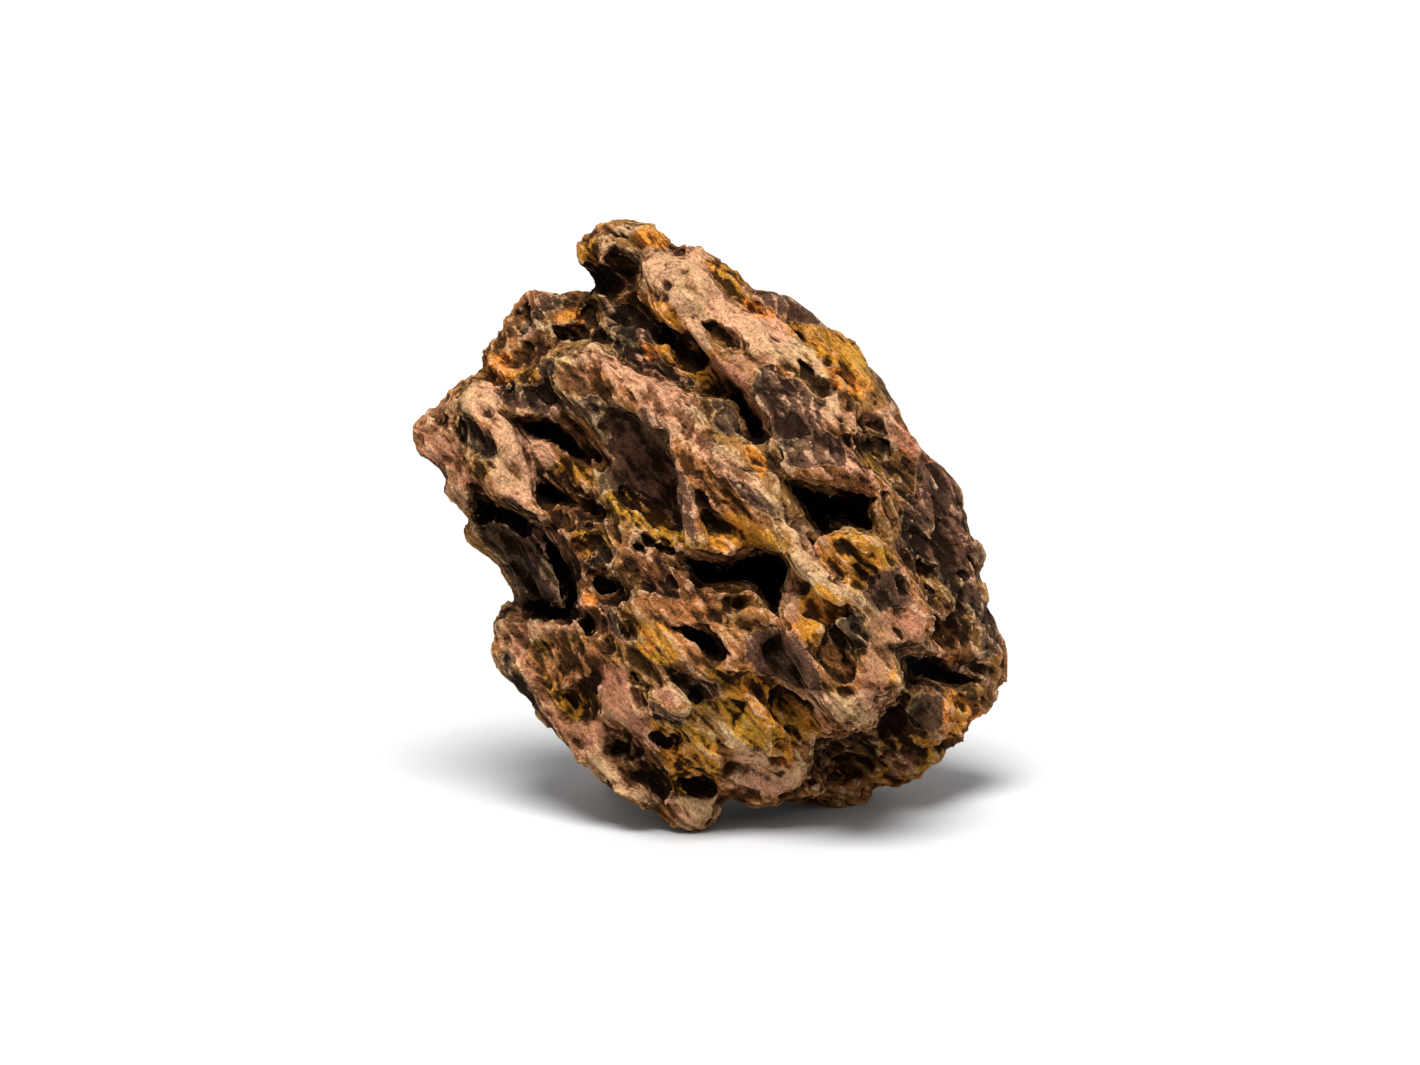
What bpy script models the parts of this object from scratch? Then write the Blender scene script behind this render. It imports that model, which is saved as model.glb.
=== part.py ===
"""Dragon stone: one piece of scooped, ledged clay rock for an aquarium layout.

The stone is shaped as a volume. A traced outline is swollen to the stone's thickness, its front is
set back or brought forward in steps, lumps and crests are added, and caves, pits and slots are
scooped out. The surface of that volume is then turned into a mesh and reduced to the facets that
its shape needs.

Places on the front are written as (x, y) in the photograph's pixels. One pixel is PIXEL metres on
the stone. Depths, radii and half lengths are real sizes in millimetres.
"""
import math
from collections import namedtuple

import bmesh
import bpy
import numpy as np
import openvdb
from mathutils import Matrix

MM = 0.001
STONE_WIDTH = 0.178  # the stone's real width, left tip to right tip
LEFT_TIP_X = 413  # photograph columns of those two tips
RIGHT_TIP_X = 1008
PIXEL = STONE_WIDTH / (RIGHT_TIP_X - LEFT_TIP_X)
MIDDLE_X = (LEFT_TIP_X + RIGHT_TIP_X) / 2
FLOOR_Y = 807  # photograph row where the floor meets the stone's middle plane
VIEW_ELEVATION = math.radians(12)  # the photograph looks down on the stone by this much

VOXEL = 1.0  # mm, fineness of the volume
MARGIN = 6.0  # mm of empty volume around the stone
BACK_UNEVEN = 6.0  # mm, the back's broad swells
BACK_WAVE = 50.0  # mm, their length
FRONT_ROUNDING = 30.0  # mm over which the front's thickness dies away towards the outline
BACK_ROUNDING = 58.0
EDGE_SQUARENESS = 2.3  # 2 would make the sides round, more makes them fuller
LEAST_THICKNESS = 9.0  # mm from the outline forward to the front
LEAST_BACK = 12.0  # mm from the outline to the back
FACETS = 9900
EDGE_KEPT = 6.0  # mm behind the outline that the back's hollows leave alone
STEP_WIDTH = 1.6  # mm, how steeply one step of the front meets the next
FLAT_FOOT = 0.9  # mm, everything lower than this is worn flat
UNEVEN_WAVES = [(0.9, 17), (0.45, 7)]  # mm that lumps and scoops are uneven by, and over which length
LUMP_REACH = 5.0  # mm around a lump or scoop, and around a crest, over which it is worked out
CREST_REACH = 4.0
WAVE_SPREAD = (0.7, 1.4)  # how much shorter or longer one wave is than the stated length

# The rock's grain runs down to the right in the photograph, and its hollows lie along it.
GRAIN_SLOPE = -48
RANDOM_SEED = 11
# How many hollows of each size the back has: half lengths in mm along the grain, across it, inward.
BACK_HOLLOWS = [(10, (25, 11, 13)), (90, (12, 6, 9)), (40, (5.5, 3, 10))]
BACK_SPREAD = (0.7, 1.3)  # how much smaller or larger one of them is
BACK_RIM = 1.5  # mm over which their rims are rounded
RAY_STARTS = [(-50, 50), (30, 135)]  # mm across and up, inside the stone, from where they are placed
RAY_LENGTH = 120.0  # mm from there to beyond the surface

OUTLINE = [
    (578, 243), (590, 231), (606, 225), (631, 221), (655, 226), (668, 241), (698, 245), (722, 262),
    (737, 274), (750, 290), (785, 295), (822, 320), (858, 343), (886, 383), (902, 414), (915, 437),
    (943, 468), (957, 488), (968, 518), (981, 538), (984, 556), (978, 572), (984, 588), (993, 612),
    (1006, 652), (1008, 672), (1001, 695), (972, 728), (957, 742), (946, 743), (940, 756),
    (912, 781), (872, 781), (862, 792), (838, 797), (813, 791), (800, 798), (755, 799), (727, 791),
    (721, 801), (718, 815), (702, 826), (688, 829), (674, 822), (655, 806), (630, 795), (605, 778),
    (575, 745), (540, 708), (520, 690), (495, 656), (494, 644), (501, 637), (495, 620), (500, 610),
    (518, 597), (505, 570), (490, 551), (467, 535), (466, 524), (472, 516), (443, 490), (445, 477),
    (420, 448), (413, 435), (417, 422), (440, 400), (465, 378), (484, 368), (482, 350), (497, 336),
    (505, 318), (520, 302), (534, 286), (552, 292), (588, 290), (578, 262),
]

# How far the front stands towards the viewer from the middle plane: (x, y, mm).
FRONT_DEPTHS = [
    (622, 250, 4), (590, 240, -2), (700, 272, 16), (560, 312, 4), (520, 322, -2), (760, 322, 26),
    (800, 365, 32), (850, 345, -4), (890, 398, -8), (421, 440, -1), (456, 420, 8), (500, 400, 20),
    (560, 365, 28), (560, 440, 20), (520, 470, 22), (482, 500, 10), (640, 390, 38), (612, 470, 30),
    (700, 400, 40), (780, 400, 44), (850, 400, 22), (900, 450, 10), (700, 480, 52), (650, 500, 38),
    (780, 480, 54), (850, 490, 46), (930, 505, 8), (975, 560, -2), (500, 560, 4), (560, 575, 12),
    (600, 560, 32), (660, 585, 48), (720, 590, 54), (800, 565, 62), (850, 575, 66), (905, 605, 54),
    (945, 605, 14), (995, 640, -6), (512, 640, 14), (560, 660, 32), (620, 660, 46), (680, 640, 54),
    (740, 650, 60), (800, 665, 64), (860, 660, 64), (905, 685, 30), (950, 670, 10), (990, 692, -2),
    (560, 715, 22), (610, 730, 38), (670, 730, 50), (740, 730, 54), (800, 730, 50), (850, 742, 26),
    (920, 732, 10), (630, 782, 34), (690, 808, 36), (740, 780, 42), (790, 785, 36), (850, 785, 0),
    (910, 772, 0),
]
FRONT_REACH = 27  # pixels over which one of those depths gives way to the next

# How far the outline itself stands towards the viewer.
EDGE_DEPTHS = [
    (622, 222, -8), (577, 260, -8), (700, 245, 2), (760, 290, 4), (840, 330, -18), (900, 400, -22),
    (940, 465, -16), (980, 540, -18), (1006, 655, -18), (960, 740, -8), (900, 782, -8),
    (850, 795, -14), (800, 798, 8), (755, 798, 20), (725, 792, 26), (690, 828, 31), (640, 798, 28),
    (590, 760, 20), (540, 708, 12), (500, 660, 2), (500, 620, -6), (500, 575, -14), (467, 530, -10),
    (443, 485, -8), (413, 435, -8), (465, 378, -6), (483, 350, -14), (510, 310, -16),
    (560, 290, -12),
]
EDGE_REACH = 34

# How far the back stands from the middle plane, before its hollows.
BACK_DEPTHS = [
    (622, 250, -26), (770, 310, -42), (890, 400, -44), (550, 330, -38), (430, 440, -26),
    (500, 480, -40), (700, 440, -58), (840, 520, -60), (975, 600, -42), (520, 640, -36),
    (640, 640, -56), (760, 700, -58), (940, 710, -40), (600, 740, -40), (690, 800, -48),
    (840, 790, -56),
]
BACK_REACH = 50

# Steps of the front: how far each area stands forward (+) or back (-) in mm, and its outline.
TERRACES = {
    "far_sheet": (-20, [(748, 280), (800, 295), (860, 335), (915, 415), (900, 440), (842, 420),
                        (833, 388), (803, 352), (770, 326), (742, 300)]),
    "right_face": (-18, [(842, 420), (915, 415), (1000, 540), (1030, 660), (1010, 680),
                         (935, 655), (926, 615), (915, 585), (895, 552), (897, 515), (885, 487),
                         (852, 462)]),
    "lower_right": (-20, [(892, 655), (935, 655), (1030, 670), (1000, 730), (912, 800),
                          (830, 810), (812, 792), (805, 765), (828, 733), (868, 722), (897, 690)]),
    "upper_valley": (-17, [(598, 300), (640, 298), (656, 314), (692, 335), (722, 368), (746, 392),
                           (770, 440), (750, 442), (733, 404), (700, 397), (662, 387), (630, 372),
                           (600, 347), (617, 340)]),
    "upper_left": (-14, [(490, 330), (530, 270), (592, 288), (602, 305), (615, 342), (562, 347),
                         (538, 362), (520, 372), (486, 352)]),
    "left_pits": (-10, [(515, 418), (575, 413), (600, 430), (613, 465), (603, 485), (612, 510),
                       (622, 535), (622, 562), (642, 592), (602, 603), (584, 598), (568, 555),
                       (556, 530), (538, 500), (533, 470)]),
    "left_recess": (-24, [(474, 478), (500, 500), (532, 516), (558, 537), (574, 565), (587, 603),
                          (575, 620), (505, 611), (480, 600), (440, 530), (474, 514)]),
    "far_left": (-12, [(400, 435), (440, 395), (458, 385), (459, 420), (466, 448), (486, 480),
                      (474, 520), (440, 490)]),
    "centre_slope": (-6, [(622, 540), (650, 538), (672, 566), (695, 588), (760, 597), (788, 618),
                          (740, 626), (700, 614), (655, 603), (637, 582)]),
    "snout": (20, [(800, 552), (842, 530), (872, 536), (900, 562), (919, 590), (928, 620),
                   (920, 638), (888, 645), (898, 672), (888, 692), (870, 708), (862, 724),
                   (838, 722), (815, 695), (786, 645), (782, 600)]),
    "snout_lobe": (-6, [(828, 628), (860, 640), (888, 645), (898, 672), (888, 692), (870, 708),
                        (862, 724), (838, 722), (812, 690), (812, 645)]),
    "ochre_field": (-7, [(684, 694), (702, 674), (746, 668), (790, 688), (822, 716), (817, 748),
                         (792, 768), (772, 786), (742, 772), (712, 748), (692, 730)]),
    "pit_field": (-6, [(598, 722), (640, 706), (682, 712), (708, 748), (716, 790), (692, 802),
                       (642, 784), (606, 756)]),
    "top_ridge": (7, [(640, 264), (656, 249), (702, 262), (736, 294), (770, 325), (805, 352),
                      (837, 392), (842, 436), (856, 468), (884, 486), (852, 482), (783, 476),
                      (766, 450), (767, 436), (745, 392), (720, 367), (692, 335), (656, 313),
                      (641, 292)]),
    "main_ridge": (6, [(545, 364), (560, 350), (602, 348), (640, 380), (700, 397), (733, 405),
                       (748, 441), (780, 478), (792, 507), (812, 538), (800, 575), (770, 545),
                       (735, 521), (702, 502), (697, 545), (690, 502), (672, 456), (665, 430),
                       (640, 410), (602, 410), (576, 405), (552, 386)]),
    "left_crest": (6, [(464, 388), (482, 374), (502, 400), (520, 430), (536, 470), (542, 500),
                       (563, 532), (588, 602), (573, 590), (553, 540), (530, 514), (500, 499),
                       (480, 480), (468, 446), (459, 412)]),
}

# Lumps: centre, half lengths in mm, and how far the centre lies behind (-) the front surface.
Lump = namedtuple("Lump", "at half_mm lift_mm")
LUMPS = {
    "top_knob": Lump((620, 254), (11, 8, 12), -9),
    "grey_ball": Lump((925, 714), (7.5, 8, 7), -2),
    "snout_lower_lobe": Lump((870, 676), (9, 8, 8), -3),
    "cream_ledge": Lump((778, 780), (16, 5, 9), -4),
    "left_tip": Lump((438, 437), (5, 6, 7), -5),
    "snout_nose": Lump((905, 620), (7, 8, 7), -4),
    "snout_brow": Lump((842, 548), (9, 6, 7), -4),
    "ridge_shoulder": Lump((700, 300), (13, 10, 8), -4),
    "middle_lobe": Lump((722, 480), (6, 11, 7), -3),
}

# Crests: a line of raised rock, its points on the front and its radius in mm.
CRESTS = {
    "main": (3.4, [(700, 455), (740, 495), (775, 525), (800, 560), (835, 592), (862, 612)]),
    "main_left": (2.8, [(640, 395), (668, 440), (690, 485), (697, 540)]),
    "face_left": (2.6, [(602, 415), (613, 450), (603, 485), (618, 530), (622, 562), (641, 592)]),
    "left": (3.2, [(478, 468), (500, 498), (531, 512), (560, 535), (572, 565), (588, 603)]),
    "top_right": (2.6, [(745, 300), (800, 352), (832, 388), (840, 425), (852, 465), (885, 487)]),
    "strut": (2.0, [(880, 485), (889, 515), (903, 547)]),
    "centre_ledge": (2.0, [(641, 592), (660, 604), (720, 609), (786, 620)]),
    "snout_rim": (2.0, [(862, 612), (920, 608)]),
    "snout_left": (1.8, [(785, 598), (786, 628), (812, 665), (845, 700)]),
    "lower_left": (2.2, [(505, 622), (528, 660), (548, 705), (590, 755), (640, 790)]),
    "pit_divider": (1.8, [(600, 640), (580, 680), (560, 700)]),
    "pit_rib_top": (2.0, [(600, 722), (628, 712), (656, 700), (684, 704)]),
    "pit_rib_middle": (2.0, [(650, 744), (664, 760), (670, 800)]),
    "pit_rib_right": (2.2, [(688, 702), (704, 738), (720, 770), (726, 788)]),
    "ochre_rib": (2.2, [(766, 680), (776, 706), (768, 738), (800, 768)]),
    "right_rib": (2.2, [(908, 455), (925, 500), (930, 560), (945, 600)]),
    "far_rib": (2.0, [(880, 410), (925, 470), (960, 540), (972, 590)]),
}

# Scoops of the front: centre, half length and half width in mm, slope of the long side in degrees
# (negative runs down to the right), and depth in mm.
Scoop = namedtuple("Scoop", "at half_mm slope depth_mm")
SCOOPS = {
    "knob_pit": Scoop((622, 266), (6, 3.6), -22, 9),
    "upper_left_pit": Scoop((520, 318), (5.5, 4), -40, 4),
    "valley_pit": Scoop((694, 352), (6.5, 5), -40, 5),
    "valley_floor": Scoop((655, 330), (10, 4), -42, 4),
    "grey_trough": Scoop((537, 397), (9, 4.4), -14, 5),
    "concave_face": Scoop((650, 476), (24, 11.5), -56, 15),
    "concave_foot": Scoop((665, 528), (9, 4.5), -30, 5),
    "ochre_shelf": Scoop((590, 543), (5.5, 3.4), 10, 4),
    "left_cave_foot": Scoop((548, 607), (9, 2.6), -8, 12),
    "left_column_groove": Scoop((520, 565), (11, 2.4), -60, 4),
    "corner_hollow": Scoop((548, 636), (7, 4), -10, 4),
    "ochre_hollow": Scoop((800, 712), (10.5, 5.8), -40, 10),
    "ochre_bowl": Scoop((735, 722), (13, 7.5), -40, 6),
    "grey_hollow": Scoop((792, 655), (11, 6), -34, 6),
    "snout_amber": Scoop((822, 603), (8, 6.5), -30, 4),
    "snout_grey": Scoop((838, 652), (10, 4.8), -62, 6),
    "snout_top": Scoop((852, 566), (10, 6.0), -34, 3),
    "snout_under": Scoop((900, 652), (4, 3), 0, 10),
    "right_olive": Scoop((892, 462), (13.5, 8), -50, 7),
    "right_brown": Scoop((945, 530), (13, 8), -62, 4),
    "right_pit": Scoop((944, 632), (7, 4.6), -34, 7),
    "right_pit_far": Scoop((962, 600), (6, 4), -50, 4),
    "sheet_hollow": Scoop((800, 335), (15, 7), -42, 4),
}

# Caves and pits with mouths of their own shape: depth in mm, and the outline of the mouth.
MOUTHS = {
    "centre_cave": (30, [(632, 528), (650, 534), (668, 546), (700, 550), (720, 554), (745, 547), (762, 545),
                         (785, 553), (793, 570), (787, 590), (780, 618), (764, 605), (745, 591), (700, 590),
                         (682, 572), (662, 554)]),
    "right_cave": (28, [(778, 477), (830, 485), (862, 489), (874, 498), (872, 512), (877, 532), (866, 536),
                        (836, 528), (822, 536), (803, 524), (792, 503)]),
    "rib_slot": (14, [(880, 489), (890, 504), (899, 532), (893, 530), (884, 512), (876, 496)]),
    "ridge_hole": (22, [(728, 398), (742, 393), (758, 407), (768, 422), (766, 434), (758, 438), (744, 428),
                        (735, 406)]),
    "ridge_pit": (7, [(703, 325), (713, 325), (731, 335), (743, 349), (740, 357), (728, 357), (711, 344)]),
    "knob_gap": (12, [(580, 264), (600, 266), (622, 274), (638, 276), (637, 285), (622, 285), (618, 294),
                      (592, 292), (583, 282)]),
    "upper_left_hollow": (10, [(584, 300), (596, 302), (604, 325), (616, 342), (562, 344), (553, 330),
                               (575, 326)]),
    "left_pit": (10, [(520, 422), (540, 418), (565, 420), (585, 432), (598, 450), (598, 463), (584, 462),
                      (560, 446), (543, 440), (527, 438)]),
    "left_hole": (17, [(594, 437), (602, 440), (611, 455), (608, 468), (602, 472), (596, 462)]),
    "tip_recess": (8, [(458, 420), (470, 418), (490, 440), (496, 456), (482, 459), (463, 450), (456, 440)]),
    "lower_left_pit": (8, [(533, 482), (548, 482), (580, 490), (604, 504), (614, 520), (566, 508),
                           (540, 500)]),
    "recess_top": (18, [(476, 490), (502, 502), (526, 510), (558, 523), (570, 548), (560, 552), (538, 528),
                        (508, 518), (480, 512)]),
    "recess_inner": (20, [(552, 520), (568, 544), (582, 572), (583, 596), (574, 612), (564, 606), (562, 580),
                          (548, 548)]),
    "dark_pit": (12, [(586, 570), (606, 565), (624, 575), (638, 586), (630, 598), (605, 598), (588, 586)]),
    "junction_hole": (15, [(580, 606), (600, 605), (606, 620), (603, 635), (590, 640), (580, 626)]),
    "slit": (13, [(629, 667), (638, 671), (651, 683), (658, 689), (645, 688), (632, 678)]),
    "oval_pit": (13, [(668, 622), (690, 622), (706, 625), (722, 640), (728, 652), (720, 659), (707, 651),
                      (692, 640)]),
    "grey_pit": (7, [(668, 668), (690, 667), (714, 680), (718, 694), (700, 700), (681, 691)]),
    "olive_pit": (7, [(654, 725), (680, 721), (686, 734), (680, 746), (662, 746), (652, 736)]),
    "low_pit": (8, [(608, 735), (626, 727), (645, 735), (646, 746), (638, 757), (622, 758), (611, 750)]),
    "foot_pit_left": (6, [(624, 764), (646, 756), (664, 764), (668, 790), (655, 786), (634, 776)]),
    "foot_pit_right": (7, [(674, 770), (700, 764), (716, 775), (718, 787), (700, 796), (680, 786)]),
    "round_pit": (6, [(562, 692), (586, 674), (601, 670), (606, 700), (600, 713), (580, 719), (568, 706)]),
    "corner_pit": (6, [(532, 642), (560, 640), (576, 652), (570, 672), (558, 686), (544, 680), (535, 664)]),
    "lip_hole": (9, [(782, 735), (795, 736), (801, 745), (791, 748)]),
    "right_gap": (20, [(886, 647), (915, 645), (940, 655), (952, 667), (985, 680), (960, 684), (930, 684),
                       (905, 681), (898, 665)]),
    "under_lip": (9, [(820, 724), (846, 730), (862, 728), (878, 744), (868, 770), (850, 780), (818, 784),
                      (824, 760), (806, 750)]),
    "beside_ball": (8, [(868, 694), (884, 688), (902, 686), (908, 700), (900, 728), (880, 736), (872, 720)]),
}
MOUTH_ROUNDING = 0.35  # share of a mouth's depth over which its wall curves into its floor
MOUTH_STRAY = 0.6  # mm that a mouth's edge strays from its outline
MOUTH_WAVE = 9.0  # mm, length of those strays
MOUTH_RIM = 0.6  # mm over which a mouth's rim is rounded

# Feet the stone stands on besides its front tip, each a root of rock from the core down to the
# floor: (across, back) from the middle in mm, and radius.
FEET = [((38, 14), 7.0), ((-23, 33), 8.5)]
FOOT_HEIGHT = 0.6  # height of a foot's middle, in its own radius
FOOT_FILLET = 9.0  # mm over which a foot flows into the rock
CORE = (0, 8, 48)


def from_photo(points):
    """Millimetres across and up in the view's own plane, from photograph pixels."""
    points = np.asarray(points, float)
    across = (points[..., 0] - MIDDLE_X) * PIXEL / MM
    up = (FLOOR_Y - points[..., 1]) * PIXEL / MM
    return np.stack([across, up], axis=-1)


def to_world():
    """The rotation from the view's (across, up, towards the viewer) to the stone's x, y, z."""
    sin_e, cos_e = math.sin(VIEW_ELEVATION), math.cos(VIEW_ELEVATION)
    return np.array([[1, 0, 0], [0, sin_e, -cos_e], [0, cos_e, sin_e]])


def outline_distance(across, up, corners):
    """Distance in mm to a closed outline, negative inside it."""
    nearest = np.full(across.shape, np.inf)
    inside = np.zeros(across.shape, bool)
    for (ax, ay), (bx, by) in zip(corners, np.roll(corners, -1, axis=0)):
        along = ((across - ax) * (bx - ax) + (up - ay) * (by - ay)) / ((bx - ax) ** 2 + (by - ay) ** 2)
        along = np.clip(along, 0, 1)
        nearest = np.minimum(nearest, np.hypot(across - ax - along * (bx - ax), up - ay - along * (by - ay)))
        if ay != by:
            crosses = (ay > up) != (by > up)
            inside ^= crosses & (across < (bx - ax) * (up - ay) / (by - ay) + ax)
    return np.where(inside, -nearest, nearest)


def smooth_step(value):
    value = np.clip(value, 0, 1)
    return value * value * (3 - 2 * value)


def wander(points, wavelength, rng, waves=9):
    """A smooth wandering value between about -1 and 1 at each point, made of crossing waves."""
    total = np.zeros(np.broadcast_shapes(*(p.shape for p in points)))
    for _ in range(waves):
        direction = rng.normal(size=3)
        direction *= 2 * math.pi / wavelength / np.linalg.norm(direction) * rng.uniform(*WAVE_SPREAD)
        phase = rng.uniform(0, 2 * math.pi)
        total += np.sin(sum(d * p for d, p in zip(direction, points)) + phase)
    return total / math.sqrt(waves)


def slope_axes(slope):
    """Rows along a slope in the view's plane, across it, and towards the viewer."""
    angle = math.radians(slope)
    return np.array([
        [math.cos(angle), math.sin(angle), 0],
        [-math.sin(angle), math.cos(angle), 0],
        [0, 0, 1],
    ])


class Volume:
    """A block of voxels holding the distance to the stone's surface in mm, negative in the rock."""

    def __init__(self, low, high):
        self.low = np.asarray(low, float)
        self.axes = [np.arange(a, b, VOXEL) for a, b in zip(low, high)]
        self.points = np.meshgrid(*self.axes, indexing="ij", sparse=True)
        self.field = None

    def block(self, centre, reach):
        """The slices of the voxels within reach of a centre, and those voxels' points."""
        slices = tuple(
            slice(max(0, int((c - reach - axis[0]) / VOXEL)), int((c + reach - axis[0]) / VOXEL) + 2)
            for c, axis in zip(centre, self.axes)
        )
        points = [p.astype(float) for p in np.meshgrid(*(a[s] for a, s in zip(self.axes, slices)),
                                                       indexing="ij")]
        return slices, points

    def ellipsoid(self, centre, axes, half):
        """Slices and distances to an ellipsoid, around it, with its sides made uneven."""
        slices, points = self.block(centre, max(half) + LUMP_REACH)
        moved = [p - c + w[slices] for p, c, w in zip(points, centre, self.uneven)]
        own = [sum(a * m for a, m in zip(row, moved)) for row in axes]
        scaled = np.sqrt(sum((o / h) ** 2 for o, h in zip(own, half)))
        steep = np.sqrt(sum((o / h ** 2) ** 2 for o, h in zip(own, half)))
        return slices, scaled * (scaled - 1) / np.maximum(steep, 1e-6)

    def scoop(self, centre, axes, half, soft=0.8):
        """Takes an ellipsoid out, with its rim rounded over soft mm."""
        slices, distance = self.ellipsoid(centre, axes, half)
        self.field[slices] = smooth_max(self.field[slices], -distance, soft)

    def add(self, centre, axes, half, soft=3.0):
        """Joins an ellipsoid on, with a fillet of soft mm."""
        slices, distance = self.ellipsoid(centre, axes, half)
        self.field[slices] = -smooth_max(-self.field[slices], -distance, soft)

    def add_crest(self, start, end, radius, soft=2.0):
        """Joins a straight round bar on, with a fillet of soft mm."""
        start, end = np.asarray(start), np.asarray(end)
        reach = np.linalg.norm(end - start) / 2 + radius + CREST_REACH
        slices, points = self.block((start + end) / 2, reach)
        moved = [p + w[slices] - s for p, w, s in zip(points, self.uneven, start)]
        along = sum(m * d for m, d in zip(moved, end - start)) / max(np.sum((end - start) ** 2), 1e-9)
        along = np.clip(along, 0, 1)
        away = [m - along * d for m, d in zip(moved, end - start)]
        distance = np.sqrt(sum(a ** 2 for a in away)) - radius
        self.field[slices] = -smooth_max(-self.field[slices], -distance, soft)

    def at(self, point):
        """The voxel indices nearest to a point."""
        return tuple(int(np.clip(round((p - a[0]) / VOXEL), 1, len(a) - 2)) for p, a in zip(point, self.axes))

    def outward(self, index):
        """The direction out of the rock at a voxel."""
        steps = np.eye(3, dtype=int)
        slope = np.array([self.field[tuple(index + s)] - self.field[tuple(index - s)] for s in steps])
        return slope / max(np.linalg.norm(slope), 1e-9)


def smooth_max(a, b, soft):
    return np.maximum(a, b) + np.maximum(soft - np.abs(a - b), 0) ** 2 / (4 * soft)


def blended(across, up, depths, reach):
    """Depths given at places, blended smoothly between them."""
    total = np.zeros(across.shape)
    weights = np.full(across.shape, 1e-12)
    for x, y, depth in depths:
        cx, cy = from_photo((x, y))
        weight = np.exp(-((across - cx) ** 2 + (up - cy) ** 2) / (2 * (reach * PIXEL / MM) ** 2))
        total += weight * depth
        weights += weight
    return total / weights


def step_height(across, up):
    """What the steps of the front add, in mm."""
    height = np.zeros(across.shape)
    for offset, corners in TERRACES.values():
        edge = outline_distance(across, up, from_photo(corners))
        height += offset * smooth_step(0.5 - edge / STEP_WIDTH)
    return height


def front_depth(across, up):
    """How far the front stands from the middle plane, with its steps, in mm."""
    level = []
    for x, y, depth in FRONT_DEPTHS:
        place = from_photo((x, y))
        level.append((x, y, depth - float(step_height(*place.reshape(2, 1))[0])))
    return blended(across, up, level, FRONT_REACH) + step_height(across, up)


def rim_fraction(outside, rounding):
    """0 where the stone has its full thickness, 1 on the outline, more outside it."""
    return np.maximum(1 + outside / rounding, 0) ** EDGE_SQUARENESS


def swell_outline(volume, rng):
    """Fills the volume with the traced outline, swollen forward and back from its own depth."""
    across, up, towards = volume.points
    flat_across, flat_up = np.broadcast_arrays(across[:, :, 0], up[:, :, 0])
    outside = outline_distance(flat_across, flat_up, from_photo(OUTLINE))
    edge = blended(flat_across, flat_up, EDGE_DEPTHS, EDGE_REACH)
    front = np.maximum(front_depth(flat_across, flat_up) - edge, LEAST_THICKNESS)
    back = edge - blended(flat_across, flat_up, BACK_DEPTHS, BACK_REACH)
    swells = BACK_UNEVEN * wander((flat_across, flat_up, np.zeros(1)), BACK_WAVE, rng)
    back = np.maximum(back + swells, LEAST_BACK)
    beyond = towards - edge[:, :, None]
    half = np.where(beyond > 0, front[:, :, None], back[:, :, None])
    front_rim, back_rim = rim_fraction(outside, FRONT_ROUNDING), rim_fraction(outside, BACK_ROUNDING)
    rim = np.where(beyond > 0, front_rim[:, :, None], back_rim[:, :, None])
    swollen = (rim + np.abs(beyond / half) ** EDGE_SQUARENESS) ** (1 / EDGE_SQUARENESS)
    volume.field = (swollen - 1) * np.minimum(half, FRONT_ROUNDING)
    volume.edge = edge
    volume.front = edge + front * np.clip(1 - front_rim, 0, 1) ** (1 / EDGE_SQUARENESS)


def on_front(volume, place):
    """The point of the swollen front behind a photograph pixel."""
    across, up = from_photo(place)
    i, j, _ = volume.at((across, up, 0))
    return np.array([across, up, volume.front[i, j]])


def shape_front(volume):
    """Adds the lumps and crests of the front and takes out its scoops."""
    for lump in LUMPS.values():
        centre = on_front(volume, lump.at) + (0, 0, lump.lift_mm)
        volume.add(centre, np.eye(3), lump.half_mm)
    for radius, line in CRESTS.values():
        points = [on_front(volume, place) for place in line]
        for start, end in zip(points, points[1:]):
            volume.add_crest(start, end, radius)
    for scoop in SCOOPS.values():
        half = (*scoop.half_mm, scoop.depth_mm)
        volume.scoop(on_front(volume, scoop.at), slope_axes(scoop.slope), half)


def open_mouths(volume, rng):
    """Takes out each cave and pit with a mouth of its own shape, straight back from the front."""
    across, up, towards = volume.points
    flat_across, flat_up = np.broadcast_arrays(across[:, :, 0], up[:, :, 0])
    shift_across, shift_up = (
        MOUTH_STRAY * wander((flat_across, flat_up, np.zeros(1)), MOUTH_WAVE, rng) for _ in range(2)
    )
    for depth, outline in MOUTHS.values():
        inside = -outline_distance(flat_across + shift_across, flat_up + shift_up, from_photo(outline))
        steep = 1 - np.clip(inside / (MOUTH_ROUNDING * depth), 0, 1)
        floor = volume.front - depth * np.sqrt(1 - steep ** 2)
        gone = np.minimum(inside[:, :, None], towards - floor[:, :, None])
        volume.field = smooth_max(volume.field, gone, MOUTH_RIM)


def scoop_back(volume, half_mm, rng):
    """Takes one hollow out of the sides or back, its long side along the grain, if there is room."""
    grain = slope_axes(GRAIN_SLOPE)[0]
    ray = rng.normal(size=3)
    ray[2] = -abs(ray[2])
    ray /= np.linalg.norm(ray)
    start = np.array([*(rng.uniform(*ends) for ends in RAY_STARTS), 0.0])
    steps = np.arange(0, RAY_LENGTH, VOXEL / 2)
    found = [d for d in steps if volume.field[volume.at(start + ray * d)] > 0]
    size = rng.uniform(*BACK_SPREAD)
    if not found:
        return False
    centre = start + ray * found[0]
    i, j, _ = volume.at(centre)
    if centre[2] > volume.edge[i, j] - EDGE_KEPT - half_mm[1] * size:
        return False
    outward = volume.outward(np.array(volume.at(centre)))
    along = grain - outward * (grain @ outward)
    along /= max(np.linalg.norm(along), 1e-6)
    axes = np.array([along, np.cross(outward, along), outward])
    volume.scoop(centre + outward, axes, np.array(half_mm) * size, BACK_RIM)
    return True


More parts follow.
